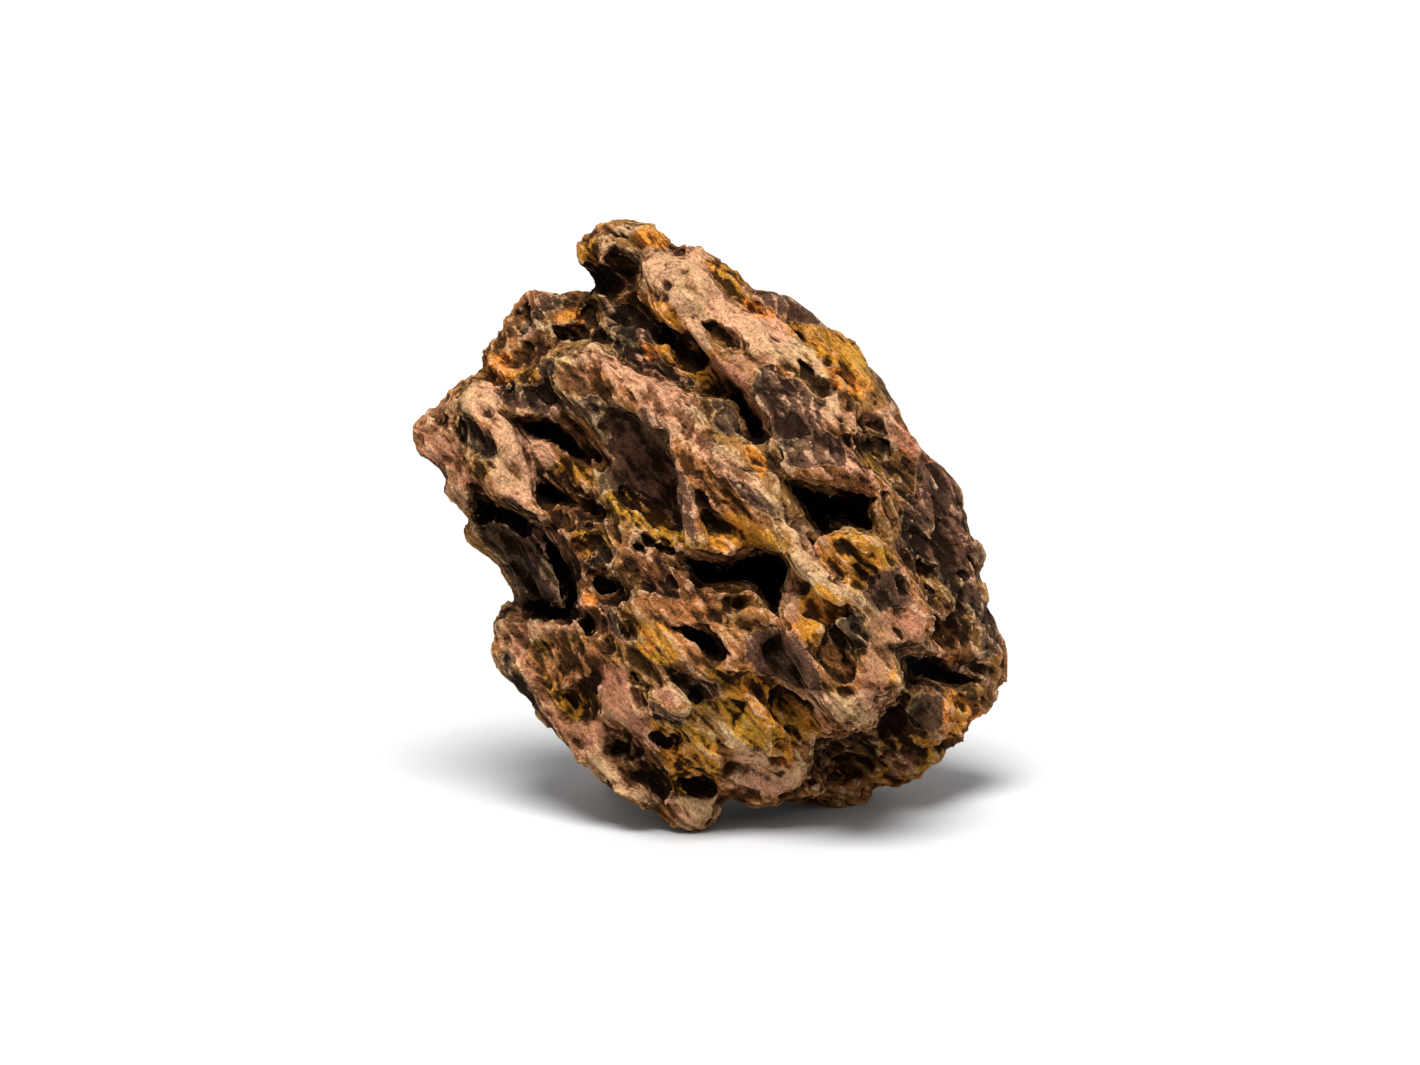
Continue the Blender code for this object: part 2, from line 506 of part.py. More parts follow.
def shape_back(volume, rng):
    """Covers the sides and back with hollows crowded so that ridges stand between them."""
    for count, half_mm in BACK_HOLLOWS:
        made = 0
        while made < count:
            made += scoop_back(volume, half_mm, rng)


def stand_on_floor(volume):
    """Adds the feet and cuts everything under the floor away."""
    turn = to_world()
    for (across, back), radius in FEET:
        foot = np.array([across, back, radius * FOOT_HEIGHT])
        volume.add_crest(foot @ turn, CORE @ turn, radius, FOOT_FILLET)
    _, up, towards = volume.points
    height = up * math.cos(VIEW_ELEVATION) + towards * math.sin(VIEW_ELEVATION)
    volume.field = np.maximum(worn(volume.field), -height)


def worn(field):
    """The field with its thinnest folds worn away: each voxel averaged with its neighbours."""
    for axis in range(3):
        field = (np.roll(field, 1, axis) + 2 * field + np.roll(field, -1, axis)) / 4
    return field


def largest_island(bm):
    """Removes every piece of the mesh but the one with most corners."""
    bm.verts.ensure_lookup_table()
    left, islands = set(bm.verts), []
    while left:
        front, island = [left.pop()], []
        while front:
            vert = front.pop()
            island.append(vert)
            for edge in vert.link_edges:
                other = edge.other_vert(vert)
                if other in left:
                    left.remove(other)
                    front.append(other)
        islands.append(island)
    islands.sort(key=len)
    for island in islands[:-1]:
        bmesh.ops.delete(bm, geom=island, context="VERTS")


def mesh_of(volume, name):
    """The volume's surface as a mesh in metres, in the stone's own frame."""
    grid = openvdb.FloatGrid(MARGIN)
    grid.copyFromArray(volume.field.astype(np.float32))
    corners, triangles, quads = grid.convertToPolygons(isovalue=0.0, adaptivity=0.0)
    corners = (corners * VOXEL + volume.low) @ to_world().T
    corners[corners[:, 2] < FLAT_FOOT, 2] = 0
    faces = [tuple(int(i) for i in face) for face in [*triangles, *quads]]
    mesh = bpy.data.meshes.new(name)
    mesh.from_pydata((corners * MM).tolist(), [], faces)
    bm = bmesh.new()
    bm.from_mesh(mesh)
    largest_island(bm)
    bmesh.ops.recalc_face_normals(bm, faces=bm.faces)
    bm.to_mesh(mesh)
    bm.free()
    return mesh


def reduced(obj, facets):
    """Applies a Decimate that leaves about that many triangles."""
    mesh = obj.data
    mesh.calc_loop_triangles()
    modifier = obj.modifiers.new("facets", "DECIMATE")
    modifier.ratio = facets / len(mesh.loop_triangles)
    modifier.use_collapse_triangulate = True
    graph = bpy.context.evaluated_depsgraph_get()
    small = bpy.data.meshes.new_from_object(obj.evaluated_get(graph))
    obj.modifiers.clear()
    obj.data = small
    bpy.data.meshes.remove(mesh)
    small.name = obj.name


def centre_on_footprint(mesh):
    """Sets the origin under the middle of the stone's box."""
    corners = np.array([v.co for v in mesh.vertices])
    middle = (corners.min(axis=0) + corners.max(axis=0)) / 2
    mesh.transform(Matrix.Translation((-middle[0], -middle[1], 0)))


def flatten_feet(mesh):
    """Sets the corners that are almost on the floor exactly on it."""
    for vert in mesh.vertices:
        if vert.co.z < FLAT_FOOT * MM:
            vert.co.z = 0


def clay_rock():
    material = bpy.data.materials.new("clay_rock")
    material.use_nodes = True
    shader = material.node_tree.nodes["Principled BSDF"]
    shader.inputs["Base Color"].default_value = (0.27, 0.14, 0.08, 1)
    shader.inputs["Roughness"].default_value = 0.85
    return material


def make_stone():
    rng = np.random.default_rng(RANDOM_SEED)
    corners = from_photo(OUTLINE)
    low = [*(corners.min(axis=0) - MARGIN), min(BACK_DEPTHS, key=lambda d: d[2])[2] - 3 * MARGIN]
    high = [*(corners.max(axis=0) + MARGIN), max(FRONT_DEPTHS, key=lambda d: d[2])[2] + 2 * MARGIN]
    volume = Volume(low, high)
    volume.uneven = [
        sum(amount * wander(volume.points, wave, rng) for amount, wave in UNEVEN_WAVES) for _ in range(3)
    ]
    swell_outline(volume, rng)
    shape_front(volume)
    open_mouths(volume, rng)
    shape_back(volume, rng)
    stand_on_floor(volume)
    stone = bpy.data.objects.new("stone", mesh_of(volume, "stone"))
    collection = bpy.data.collections.new("dragon_stone")
    bpy.context.scene.collection.children.link(collection)
    collection.objects.link(stone)
    reduced(stone, FACETS)
    flatten_feet(stone.data)
    centre_on_footprint(stone.data)
    stone.data.materials.append(clay_rock())


for old in list(bpy.data.objects):
    bpy.data.objects.remove(old)
make_stone()
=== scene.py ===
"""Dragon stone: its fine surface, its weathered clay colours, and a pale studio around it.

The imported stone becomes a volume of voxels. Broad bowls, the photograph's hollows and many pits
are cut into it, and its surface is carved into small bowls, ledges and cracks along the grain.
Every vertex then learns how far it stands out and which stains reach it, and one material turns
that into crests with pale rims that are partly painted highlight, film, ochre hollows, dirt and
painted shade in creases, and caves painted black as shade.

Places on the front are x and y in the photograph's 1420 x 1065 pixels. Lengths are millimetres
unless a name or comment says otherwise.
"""
import itertools
import math

import bmesh
import bpy
import numpy as np
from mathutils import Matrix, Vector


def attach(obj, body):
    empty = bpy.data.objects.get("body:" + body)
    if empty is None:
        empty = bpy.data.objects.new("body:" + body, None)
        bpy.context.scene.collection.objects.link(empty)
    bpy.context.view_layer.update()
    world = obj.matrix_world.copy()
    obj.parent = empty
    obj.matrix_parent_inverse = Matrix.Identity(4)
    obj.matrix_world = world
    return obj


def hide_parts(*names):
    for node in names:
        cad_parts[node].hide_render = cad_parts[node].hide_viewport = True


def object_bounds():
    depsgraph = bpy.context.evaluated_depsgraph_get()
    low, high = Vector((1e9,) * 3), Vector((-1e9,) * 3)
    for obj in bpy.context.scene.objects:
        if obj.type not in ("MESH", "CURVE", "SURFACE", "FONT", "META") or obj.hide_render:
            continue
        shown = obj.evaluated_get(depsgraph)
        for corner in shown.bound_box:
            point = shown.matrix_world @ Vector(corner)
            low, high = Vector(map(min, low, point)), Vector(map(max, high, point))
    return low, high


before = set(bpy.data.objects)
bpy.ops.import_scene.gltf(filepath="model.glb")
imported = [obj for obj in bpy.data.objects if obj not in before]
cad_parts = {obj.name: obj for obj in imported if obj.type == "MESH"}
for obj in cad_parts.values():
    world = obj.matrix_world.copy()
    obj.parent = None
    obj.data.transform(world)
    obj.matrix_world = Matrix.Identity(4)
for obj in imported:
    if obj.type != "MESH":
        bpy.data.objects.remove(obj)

import openvdb
from mathutils import Vector

CAD_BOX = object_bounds()
MM = 0.001
TINY = 1e-6  # the least length that something is divided by

# The photograph: its size, the stone's extreme columns and top row in it, and how it looks down.
PHOTO_SIZE = (1420, 1065)
LEFT_TIP_X = 413
RIGHT_TIP_X = 1008
TOP_Y = 221.5
VIEW_ELEVATION = math.radians(12)
CAMERA_DISTANCE = 4.0  # metres

VOXEL = 0.8
BAND = 5  # voxels on each side of the surface that the volume describes
TRIANGLES = 196000
GRAIN_SLOPE = -48  # degrees in the photograph, negative runs down to the right
SEED = 23


def view_axes():
    """Rows: across the photograph, up it, and towards the viewer."""
    sin_e, cos_e = math.sin(VIEW_ELEVATION), math.cos(VIEW_ELEVATION)
    return np.array([[1, 0, 0], [0, sin_e, cos_e], [0, -cos_e, sin_e]])


class Photo:
    """Turns places on the stone into photograph pixels and back."""

    def __init__(self, corners):
        seen = corners @ view_axes().T
        self.left = seen[:, 0].min()
        self.top = seen[:, 1].max()
        self.pixel = (seen[:, 0].max() - self.left) / (RIGHT_TIP_X - LEFT_TIP_X)

    def pixels(self, corners):
        seen = corners @ view_axes().T
        x = LEFT_TIP_X + (seen[..., 0] - self.left) / self.pixel
        y = TOP_Y + (self.top - seen[..., 1]) / self.pixel
        return np.stack([x, y], axis=-1)

    def point(self, x, y, depth):
        """The place seen at pixel (x, y), depth towards the viewer, in the stone's frame."""
        across = self.left + (x - LEFT_TIP_X) * self.pixel
        up = self.top - (y - TOP_Y) * self.pixel
        return np.array([across, up, depth]) @ view_axes()


def smooth_max(a, b, soft):
    return np.maximum(a, b) + np.maximum(soft - np.abs(a - b), 0) ** 2 / (4 * soft)


def smooth_step(value):
    value = np.clip(value, 0, 1)
    return value * value * (3 - 2 * value)


class Noise:
    """Smooth random values between about -1 and 1 on a repeating lattice."""

    SIDE = 48
    APART = 7.3  # between the octaves

    def __init__(self, rng):
        self.lattice = rng.uniform(-1, 1, (self.SIDE,) * 3).astype(np.float32)

    def __call__(self, points, size):
        scaled = points / size
        cell = np.floor(scaled).astype(int)
        part = (scaled - cell).astype(np.float32)
        part = part * part * (3 - 2 * part)
        near, far = cell % self.SIDE, (cell + 1) % self.SIDE
        total = 0
        for corner in np.ndindex(2, 2, 2):
            index = [np.where(c, far[:, i], near[:, i]) for i, c in enumerate(corner)]
            weight = [part[:, i] if c else 1 - part[:, i] for i, c in enumerate(corner)]
            total = total + self.lattice[tuple(index)] * weight[0] * weight[1] * weight[2]
        return total

    def layered(self, points, size, octaves, shift=0, drawn=(1, 1, 1)):
        """Octaves of noise, halving in size and strength, each read at its own place."""
        places = points * drawn + shift
        return sum(self(places + self.APART * i, size / 2 ** i) / 2 ** i for i in range(octaves))

    def wander(self, points, size, octaves, apart):
        """A shift of each point along the three axes, from noises that lie apart."""
        shifts = [self.layered(points, size, octaves, shift=apart * i) for i in range(3)]
        return np.stack(shifts, axis=-1)


def grain_axes():
    """Rows: along the grain, across it, and towards the viewer, in the stone's frame."""
    angle = math.radians(GRAIN_SLOPE)
    turn = np.array([
        [math.cos(angle), math.sin(angle), 0],
        [-math.sin(angle), math.cos(angle), 0],
        [0, 0, 1],
    ])
    return turn @ view_axes()


class Volume:
    """Voxels holding the distance to the stone's surface, negative in the rock."""

    def __init__(self, mesh):
        corners = vertex_places(mesh)
        mesh.calc_loop_triangles()
        triangles = np.array([t.vertices for t in mesh.loop_triangles])
        room = (BAND + 2) * VOXEL
        self.low = np.floor((corners.min(axis=0) - room) / VOXEL).astype(int)
        self.shape = np.ceil((corners.max(axis=0) + room) / VOXEL).astype(int) - self.low
        grid = openvdb.FloatGrid.createLevelSetFromPolygons(
            corners.astype(np.float32),
            triangles=triangles.astype(np.uint32),
            transform=openvdb.createLinearTransform(voxelSize=VOXEL),
            halfWidth=BAND,
        )
        self.field = np.empty(self.shape, np.float32)
        grid.copyToArray(self.field, ijk=tuple(int(i) for i in self.low))

    def points(self, index):
        return (index + self.low) * VOXEL

    def sample(self, points, field=None):
        """Values of a field, the distance unless another is given, between the voxels."""
        field = self.field if field is None else field
        scaled = points / VOXEL - self.low
        cell = np.clip(np.floor(scaled).astype(int), 0, np.array(self.shape) - 2)
        part = np.clip(scaled - cell, 0, 1)
        total = 0
        for corner in np.ndindex(2, 2, 2):
            weight = np.prod(np.where(corner, part, 1 - part), axis=1)
            total = total + field[tuple((cell + corner).T)] * weight
        return total

    def block(self, low, high):
        """Slices of the voxels between two corners, and their places."""
        first = np.clip((low / VOXEL - self.low).astype(int), 0, self.shape)
        last = np.clip((high / VOXEL - self.low).astype(int) + 2, 0, self.shape)
        slices = tuple(slice(a, b) for a, b in zip(first, last))
        steps = [np.arange(a, b) for a, b in zip(first, last)]
        return slices, self.points(np.stack(np.meshgrid(*steps, indexing="ij"), -1))

    def outward(self, places):
        """Unit vectors pointing out of the rock."""
        steps = np.eye(3) * VOXEL
        rises = [self.sample(places + step) - self.sample(places - step) for step in steps]
        return unit(np.stack(rises, axis=-1))

    def scoop(self, centre, axes, half, uneven, soft):
        """Takes away an uneven ellipsoid whose half axes lie along the rows of axes."""
        reach = max(half) + 3
        slices, places = self.block(centre - reach, centre + reach)
        own = (places - centre + uneven(places)) @ axes.T
        scaled = np.sqrt(((own / half) ** 2).sum(axis=-1))
        steep = np.sqrt(((own / np.square(half)) ** 2).sum(axis=-1))
        distance = scaled * (scaled - 1) / np.maximum(steep, TINY)
        self.field[slices] = smooth_max(self.field[slices], -distance, soft)

    def soften(self):
        """Rounds the facets' edges, over one voxel each way."""
        for axis in range(3):
            f = self.field
            self.field = (np.roll(f, 1, axis) + 2 * f + np.roll(f, -1, axis)) / 4

    def rock_behind(self, reach):
        """Half the thickness of the rock around each voxel, as far as the volume describes it."""
        half = -self.field
        for axis in range(3):
            grown = half
            for step in range(1, reach + 1):
                sides = np.maximum(np.roll(half, step, axis), np.roll(half, -step, axis))
                grown = np.maximum(grown, sides)
            half = grown
        return blurred(half, 2)

    def near_surface(self, reach):
        index = np.argwhere(np.abs(self.field) < reach)
        return index, self.points(index)

    def surface(self):
        grid = openvdb.FloatGrid(BAND * VOXEL)
        grid.copyFromArray(self.field)
        corners, _, quads = grid.convertToPolygons(isovalue=0.0, adaptivity=0.0)
        return (corners + self.low) * VOXEL, quads.astype(int)


def vertex_places(mesh):
    return np.array([v.co for v in mesh.vertices]) / MM


def vertex_normals(mesh):
    return np.array([v.normal for v in mesh.vertices])


def unit(vectors):
    return vectors / np.maximum(np.linalg.norm(vectors, axis=1), TINY)[:, None]


def blurred(field, reach):
    """A running mean over reach voxels on both sides, along each axis."""
    width = 2 * reach + 1
    for axis in range(3):
        margins = [(reach + 1, reach) if a == axis else (0, 0) for a in range(3)]
        total = np.cumsum(np.pad(field, margins, mode="edge"), axis=axis, dtype=np.float64)
        far = np.take(total, range(width, total.shape[axis]), axis=axis)
        near = np.take(total, range(0, total.shape[axis] - width), axis=axis)
        field = ((far - near) / width).astype(np.float32)
    return field


# Hollows of the front: depth under the rock around them, and the mouth's outline as x, y, x, y.
HOLLOWS = {
    "centre_cave": (24, [632, 528, 650, 534, 668, 546, 700, 550, 720, 554, 745, 547, 762, 545, 785, 553,
        793, 570, 787, 590, 780, 618, 764, 605, 745, 591, 700, 590, 682, 572, 662, 554]),
    "right_cave": (20, [778, 477, 830, 485, 862, 489, 874, 498, 872, 512, 877, 532, 866, 536, 836, 528,
        822, 536, 803, 524, 792, 503]),
    "ridge_hole": (16, [728, 398, 742, 393, 758, 407, 768, 422, 766, 434, 758, 438, 744, 428, 735, 406]),
    "ridge_pit": (7, [701, 322, 714, 321, 733, 332, 746, 348, 743, 360, 727, 360, 709, 346]),
    "knob_shade": (9, [580, 262, 600, 264, 622, 273, 638, 275, 637, 285, 622, 285, 618, 294, 592, 292,
        583, 280]),
    "knob_slit": (5, [655, 247, 672, 249, 688, 247, 682, 257, 668, 255]),
    "upper_left_shade": (8, [584, 300, 596, 302, 604, 325, 616, 342, 562, 344, 553, 330, 575, 326]),
    "valley_spots": (3, [658, 334, 672, 340, 690, 352, 700, 357, 682, 360, 664, 350]),
    "left_hole": (12, [594, 437, 602, 440, 611, 455, 608, 468, 602, 472, 596, 462]),
    "left_slit": (6, [582, 494, 597, 492, 599, 500, 586, 501]),
    "left_pit": (6, [520, 422, 540, 418, 565, 420, 585, 432, 598, 450, 598, 463, 584, 462, 560, 446,
        543, 440, 527, 438]),
    "tip_recess": (5, [458, 420, 470, 418, 490, 440, 496, 456, 482, 459, 463, 450, 456, 440]),
    "flake_hole": (5, [483, 345, 495, 341, 498, 350, 490, 356, 482, 354]),
    "under_flake": (2, [484, 372, 492, 381, 505, 386, 514, 384, 512, 389, 494, 386, 482, 378]),
    "lower_left_pit": (5, [533, 482, 548, 482, 580, 490, 604, 504, 614, 520, 566, 508, 540, 500]),
    "recess_upper": (16, [470, 488, 480, 486, 502, 500, 526, 508, 558, 522, 570, 548, 560, 552, 538, 528,
        508, 520, 474, 520]),
    "recess_inner": (15, [552, 520, 568, 544, 582, 572, 583, 596, 574, 612, 564, 606, 562, 580, 548, 548]),
    "dark_pit": (9, [586, 570, 606, 565, 624, 575, 638, 586, 630, 598, 605, 598, 588, 586]),
    "black_hole": (11, [580, 606, 600, 605, 606, 620, 603, 635, 590, 640, 580, 626]),
    "slit": (9, [629, 667, 638, 671, 651, 683, 658, 689, 645, 688, 632, 678]),
    "oval_pit": (10, [668, 622, 690, 622, 706, 625, 722, 640, 728, 652, 720, 659, 707, 651, 692, 640]),
    "olive_pit": (4.5, [668, 668, 690, 667, 714, 680, 718, 694, 700, 700, 681, 691]),
    "ochre_pit": (4.5, [654, 725, 680, 721, 686, 734, 680, 746, 662, 746, 652, 736]),
    "pit_a": (5.5, [608, 735, 626, 727, 645, 735, 646, 746, 638, 757, 622, 758, 611, 750]),
    "pit_b": (4, [624, 764, 646, 756, 664, 764, 668, 790, 655, 786, 634, 776]),
    "pit_c": (4, [674, 770, 700, 764, 716, 775, 718, 787, 700, 796, 680, 786]),
    "pit_d": (3.5, [562, 692, 586, 674, 601, 670, 606, 700, 600, 713, 580, 719, 568, 706]),
    "pit_e": (2.5, [532, 642, 560, 640, 576, 652, 570, 672, 558, 686, 544, 680, 535, 664]),
    "ledge_hole": (6, [616, 618, 630, 622, 636, 634, 630, 640, 620, 634]),
    "rib_slit": (13, [880, 489, 890, 504, 899, 532, 893, 530, 884, 512, 876, 496]),
    "rib_pit": (5, [861, 514, 872, 517, 881, 534, 889, 547, 876, 541, 863, 528]),
    "sheet_notch": (4, [800, 358, 815, 376, 840, 393, 834, 402, 815, 396, 800, 380]),
    "brown_slope": (5, [842, 436, 866, 433, 888, 444, 898, 460, 880, 462, 850, 454]),
    "crumbly_hole": (3, [838, 402, 856, 398, 874, 400, 880, 408, 862, 408, 846, 414]),
    "gap": (15, [886, 647, 915, 645, 940, 655, 952, 667, 985, 680, 960, 684, 930, 684, 905, 681, 898, 665]),
    "right_groove": (6, [905, 553, 935, 562, 950, 580, 930, 596, 915, 585]),
    "lip_hole": (5, [782, 735, 795, 736, 801, 745, 791, 748]),
    "spot_pit": (4, [776, 628, 784, 630, 786, 638, 777, 638]),
    "lobe_pit": (2.5, [834, 682, 848, 682, 858, 690, 848, 694, 838, 692]),
    "under_lip": (6, [820, 724, 846, 730, 862, 728, 878, 744, 868, 770, 850, 780, 818, 784, 824, 760,
        806, 750]),
    "beside_ball": (6, [868, 694, 884, 688, 902, 686, 908, 700, 900, 728, 880, 736, 872, 720]),
    "under_foot_lip": (5, [800, 776, 820, 772, 815, 784, 796, 786]),
}
# The hollows whose insides no light reaches.
BLACK_HOLLOWS = ("centre_cave", "right_cave", "ridge_hole", "knob_shade", "left_hole", "recess_upper",
                 "recess_inner", "black_hole", "slit", "gap", "rib_slit")
# Stains of the front by kind: the outline of each patch as x, y, x, y.
PATCHES = {}
PATCHES["cream"] = {
    "ridge_top": [642, 252, 655, 248, 682, 256, 700, 246, 720, 262, 700, 262, 718, 284, 742, 306, 776, 322,
        800, 346, 815, 366, 770, 364, 756, 360, 742, 350, 704, 322, 702, 338, 712, 352, 700, 352, 682, 318,
        664, 298, 645, 286],
    "knob": [598, 234, 610, 227, 636, 223, 644, 230, 636, 238, 616, 234, 606, 240, 620, 242, 640, 252,
        630, 256, 608, 246, 602, 252, 610, 262, 640, 270, 616, 270, 598, 262, 596, 246],
    "ridge_side": [800, 345, 822, 362, 838, 396, 836, 418, 846, 450, 872, 480, 880, 490, 868, 484, 838, 466,
        842, 440, 826, 428, 820, 412, 828, 398, 812, 372],
    "crest": [556, 360, 575, 349, 600, 346, 640, 370, 668, 386, 700, 396, 706, 426, 690, 440, 668, 440,
        655, 424, 636, 400, 612, 384, 590, 366, 576, 366],
    "crest_low": [690, 436, 712, 440, 742, 462, 762, 486, 790, 516, 822, 536, 800, 541, 778, 526, 746, 500,
        716, 472, 694, 452],
    "left_crest": [470, 380, 498, 386, 500, 410, 520, 430, 548, 442, 560, 462, 544, 476, 540, 500, 520, 505,
        498, 492, 494, 470, 498, 450, 486, 424, 470, 418, 460, 412, 459, 396],
    "neck": [788, 542, 806, 541, 822, 560, 850, 590, 862, 602, 858, 612, 840, 600, 806, 580, 792, 562],
    "foot_lobe": [724, 716, 742, 740, 764, 748, 770, 762, 790, 766, 802, 756, 805, 768, 795, 786, 770, 792,
        744, 788, 722, 778, 738, 764],
    "lip": [800, 692, 822, 685, 842, 694, 862, 684, 882, 690, 868, 720, 854, 728, 838, 718, 816, 708],
    # Painted light: the low tip is made pale to stand for the light that falls on it.
    "foot_painted_light": [668, 796, 718, 788, 718, 815, 700, 828, 676, 822],
    "under_pits": [588, 748, 612, 762, 632, 782, 668, 796, 650, 804, 610, 781],
    "chip": [590, 293, 616, 296, 612, 306, 605, 316, 598, 305],
    "film_gap": [640, 268, 650, 262, 655, 290, 642, 288],
}
PATCHES["pink"] = {
    "left_tip": [413, 433, 425, 405, 445, 394, 456, 402, 455, 430, 462, 462, 472, 480, 480, 512, 460, 512,
        444, 490, 446, 474, 424, 456],
    "low_ridge": [700, 362, 742, 358, 756, 366, 750, 388, 732, 392, 716, 376],
    "crest_head": [556, 372, 576, 366, 596, 376, 594, 398, 572, 396, 560, 388],
    "lower_left": [600, 664, 626, 664, 640, 690, 650, 715, 656, 742, 640, 746, 622, 726, 600, 714],
    "lower_flat": [560, 718, 600, 718, 612, 732, 608, 750, 622, 764, 650, 790, 604, 772, 576, 744,
        552, 716],
    "left_lip": [505, 620, 516, 612, 546, 618, 582, 620, 574, 631, 556, 632, 531, 640, 520, 651, 500, 652,
        503, 636],
    "snout": [862, 614, 880, 610, 916, 606, 925, 620, 920, 640, 886, 641, 890, 656, 899, 676, 880, 686,
        862, 682, 860, 650],
    "snout_cheek": [780, 596, 792, 580, 804, 586, 800, 606, 792, 622, 784, 612],
    "far_ridge": [835, 412, 870, 414, 890, 402, 906, 430, 932, 455, 940, 466, 920, 464, 900, 446, 870, 432,
        846, 428],
    "left_band": [512, 622, 526, 640, 532, 664, 548, 694, 572, 720, 604, 752, 640, 784, 660, 800, 640, 800,
        600, 772, 566, 738, 540, 706, 522, 672, 512, 648],
    "fold": [655, 684, 676, 689, 690, 704, 672, 707, 656, 696],
    "gap_ledge": [942, 658, 955, 655, 966, 668, 994, 676, 1000, 692, 980, 686, 950, 670],
    "right_foot": [886, 750, 905, 750, 924, 760, 910, 776, 890, 774],
    "right_lip": [945, 694, 974, 704, 1000, 690, 984, 716, 964, 741, 944, 742, 940, 724],
}
PATCHES["ochre"] = {
    "left_yellow": [542, 460, 560, 460, 592, 467, 602, 476, 592, 488, 562, 480, 544, 474],
    "middle_yellow": [572, 535, 590, 531, 611, 534, 620, 550, 602, 560, 580, 557],
    "face_foot": [600, 494, 628, 488, 652, 500, 674, 516, 700, 540, 704, 549, 670, 544, 640, 524, 612, 508],
    "snout_front": [800, 592, 816, 584, 836, 594, 846, 606, 830, 621, 820, 636, 800, 641, 790, 626],
    "snout_top": [820, 542, 840, 529, 862, 532, 886, 548, 892, 562, 880, 576, 858, 588, 846, 592, 830, 580,
        820, 562],
    "right_slope": [862, 452, 884, 450, 880, 464, 890, 478, 880, 488, 866, 470],
    "knob_left": [579, 246, 590, 238, 598, 244, 597, 260, 584, 263, 579, 256],
    "valley": [640, 303, 666, 305, 702, 342, 722, 380, 712, 394, 690, 386, 662, 384, 644, 366, 655, 346,
        650, 325],
    "far_sheet": [776, 320, 820, 324, 862, 346, 870, 366, 850, 376, 820, 366, 800, 340],
    "low_field": [700, 668, 740, 664, 776, 690, 806, 704, 822, 722, 814, 738, 788, 736, 764, 746, 742, 740,
        716, 706, 690, 700],
    "crest_back": [700, 258, 736, 275, 744, 296, 776, 318, 762, 324, 736, 298, 714, 280],
    "cave_lip": [704, 520, 736, 510, 766, 530, 786, 552, 762, 545, 745, 548, 716, 552, 702, 544],
    "pit_field": [650, 716, 690, 716, 716, 744, 722, 780, 700, 796, 672, 790, 648, 760],
    "ledge_foot": [640, 620, 664, 622, 686, 650, 672, 664, 650, 660, 636, 640],
    "left_low": [540, 664, 556, 688, 578, 690, 600, 668, 606, 706, 580, 720, 556, 706],
    "right_foot": [852, 752, 880, 738, 905, 736, 944, 746, 932, 766, 906, 780, 870, 778],
    "below_film": [520, 372, 542, 366, 544, 384, 516, 384],
}
PATCHES["brown"] = {
    "upper_left": [500, 336, 512, 312, 535, 289, 556, 293, 586, 290, 590, 300, 582, 310, 562, 310, 553, 322,
        556, 344, 540, 352, 515, 342],
    "under_chip": [556, 326, 584, 320, 600, 318, 618, 344, 580, 346, 548, 352],
    "recess": [466, 500, 500, 500, 560, 520, 584, 572, 584, 602, 606, 608, 606, 632, 590, 642, 580, 620,
        520, 612, 496, 612, 518, 596, 508, 570, 480, 536],
    "pit_rim": [512, 415, 560, 414, 600, 440, 606, 470, 586, 468, 546, 446, 520, 442],
    "below_left": [530, 480, 560, 480, 606, 500, 620, 530, 606, 534, 570, 520, 536, 504],
    "hole_slope": [582, 560, 616, 562, 642, 586, 632, 602, 600, 602, 584, 588],
    "far_left": [776, 312, 752, 293, 782, 292, 806, 303, 828, 322, 800, 324],
    "right_top": [842, 430, 880, 430, 904, 452, 900, 464, 866, 462, 848, 456],
    "cave_shelf": [630, 526, 664, 548, 690, 580, 700, 594, 660, 604, 640, 590, 626, 560],
    "right_low": [866, 704, 884, 690, 903, 688, 905, 706, 900, 726, 905, 738, 890, 746, 872, 738],
    "under_lip": [806, 740, 862, 726, 884, 744, 884, 770, 852, 784, 806, 790],
    "right_mid": [920, 580, 950, 590, 976, 620, 985, 660, 960, 664, 942, 656, 930, 630, 922, 604],
    "gap_top": [884, 640, 924, 640, 944, 656, 990, 676, 960, 690, 902, 688, 890, 664],
    "olive_pits": [640, 658, 700, 660, 722, 684, 716, 702, 684, 696, 662, 682],
    "slab_foot": [760, 440, 790, 466, 780, 478, 764, 470],
    "lower_pits": [606, 730, 648, 730, 668, 760, 670, 792, 634, 778, 612, 756],
    "under_knob": [581, 264, 600, 266, 620, 272, 638, 272, 638, 288, 616, 294, 588, 292],
    "right_brown": [894, 462, 916, 458, 934, 470, 938, 502, 915, 508, 898, 496],
    "right_slope": [866, 460, 898, 458, 912, 470, 912, 486, 900, 496, 884, 490, 872, 476],
}
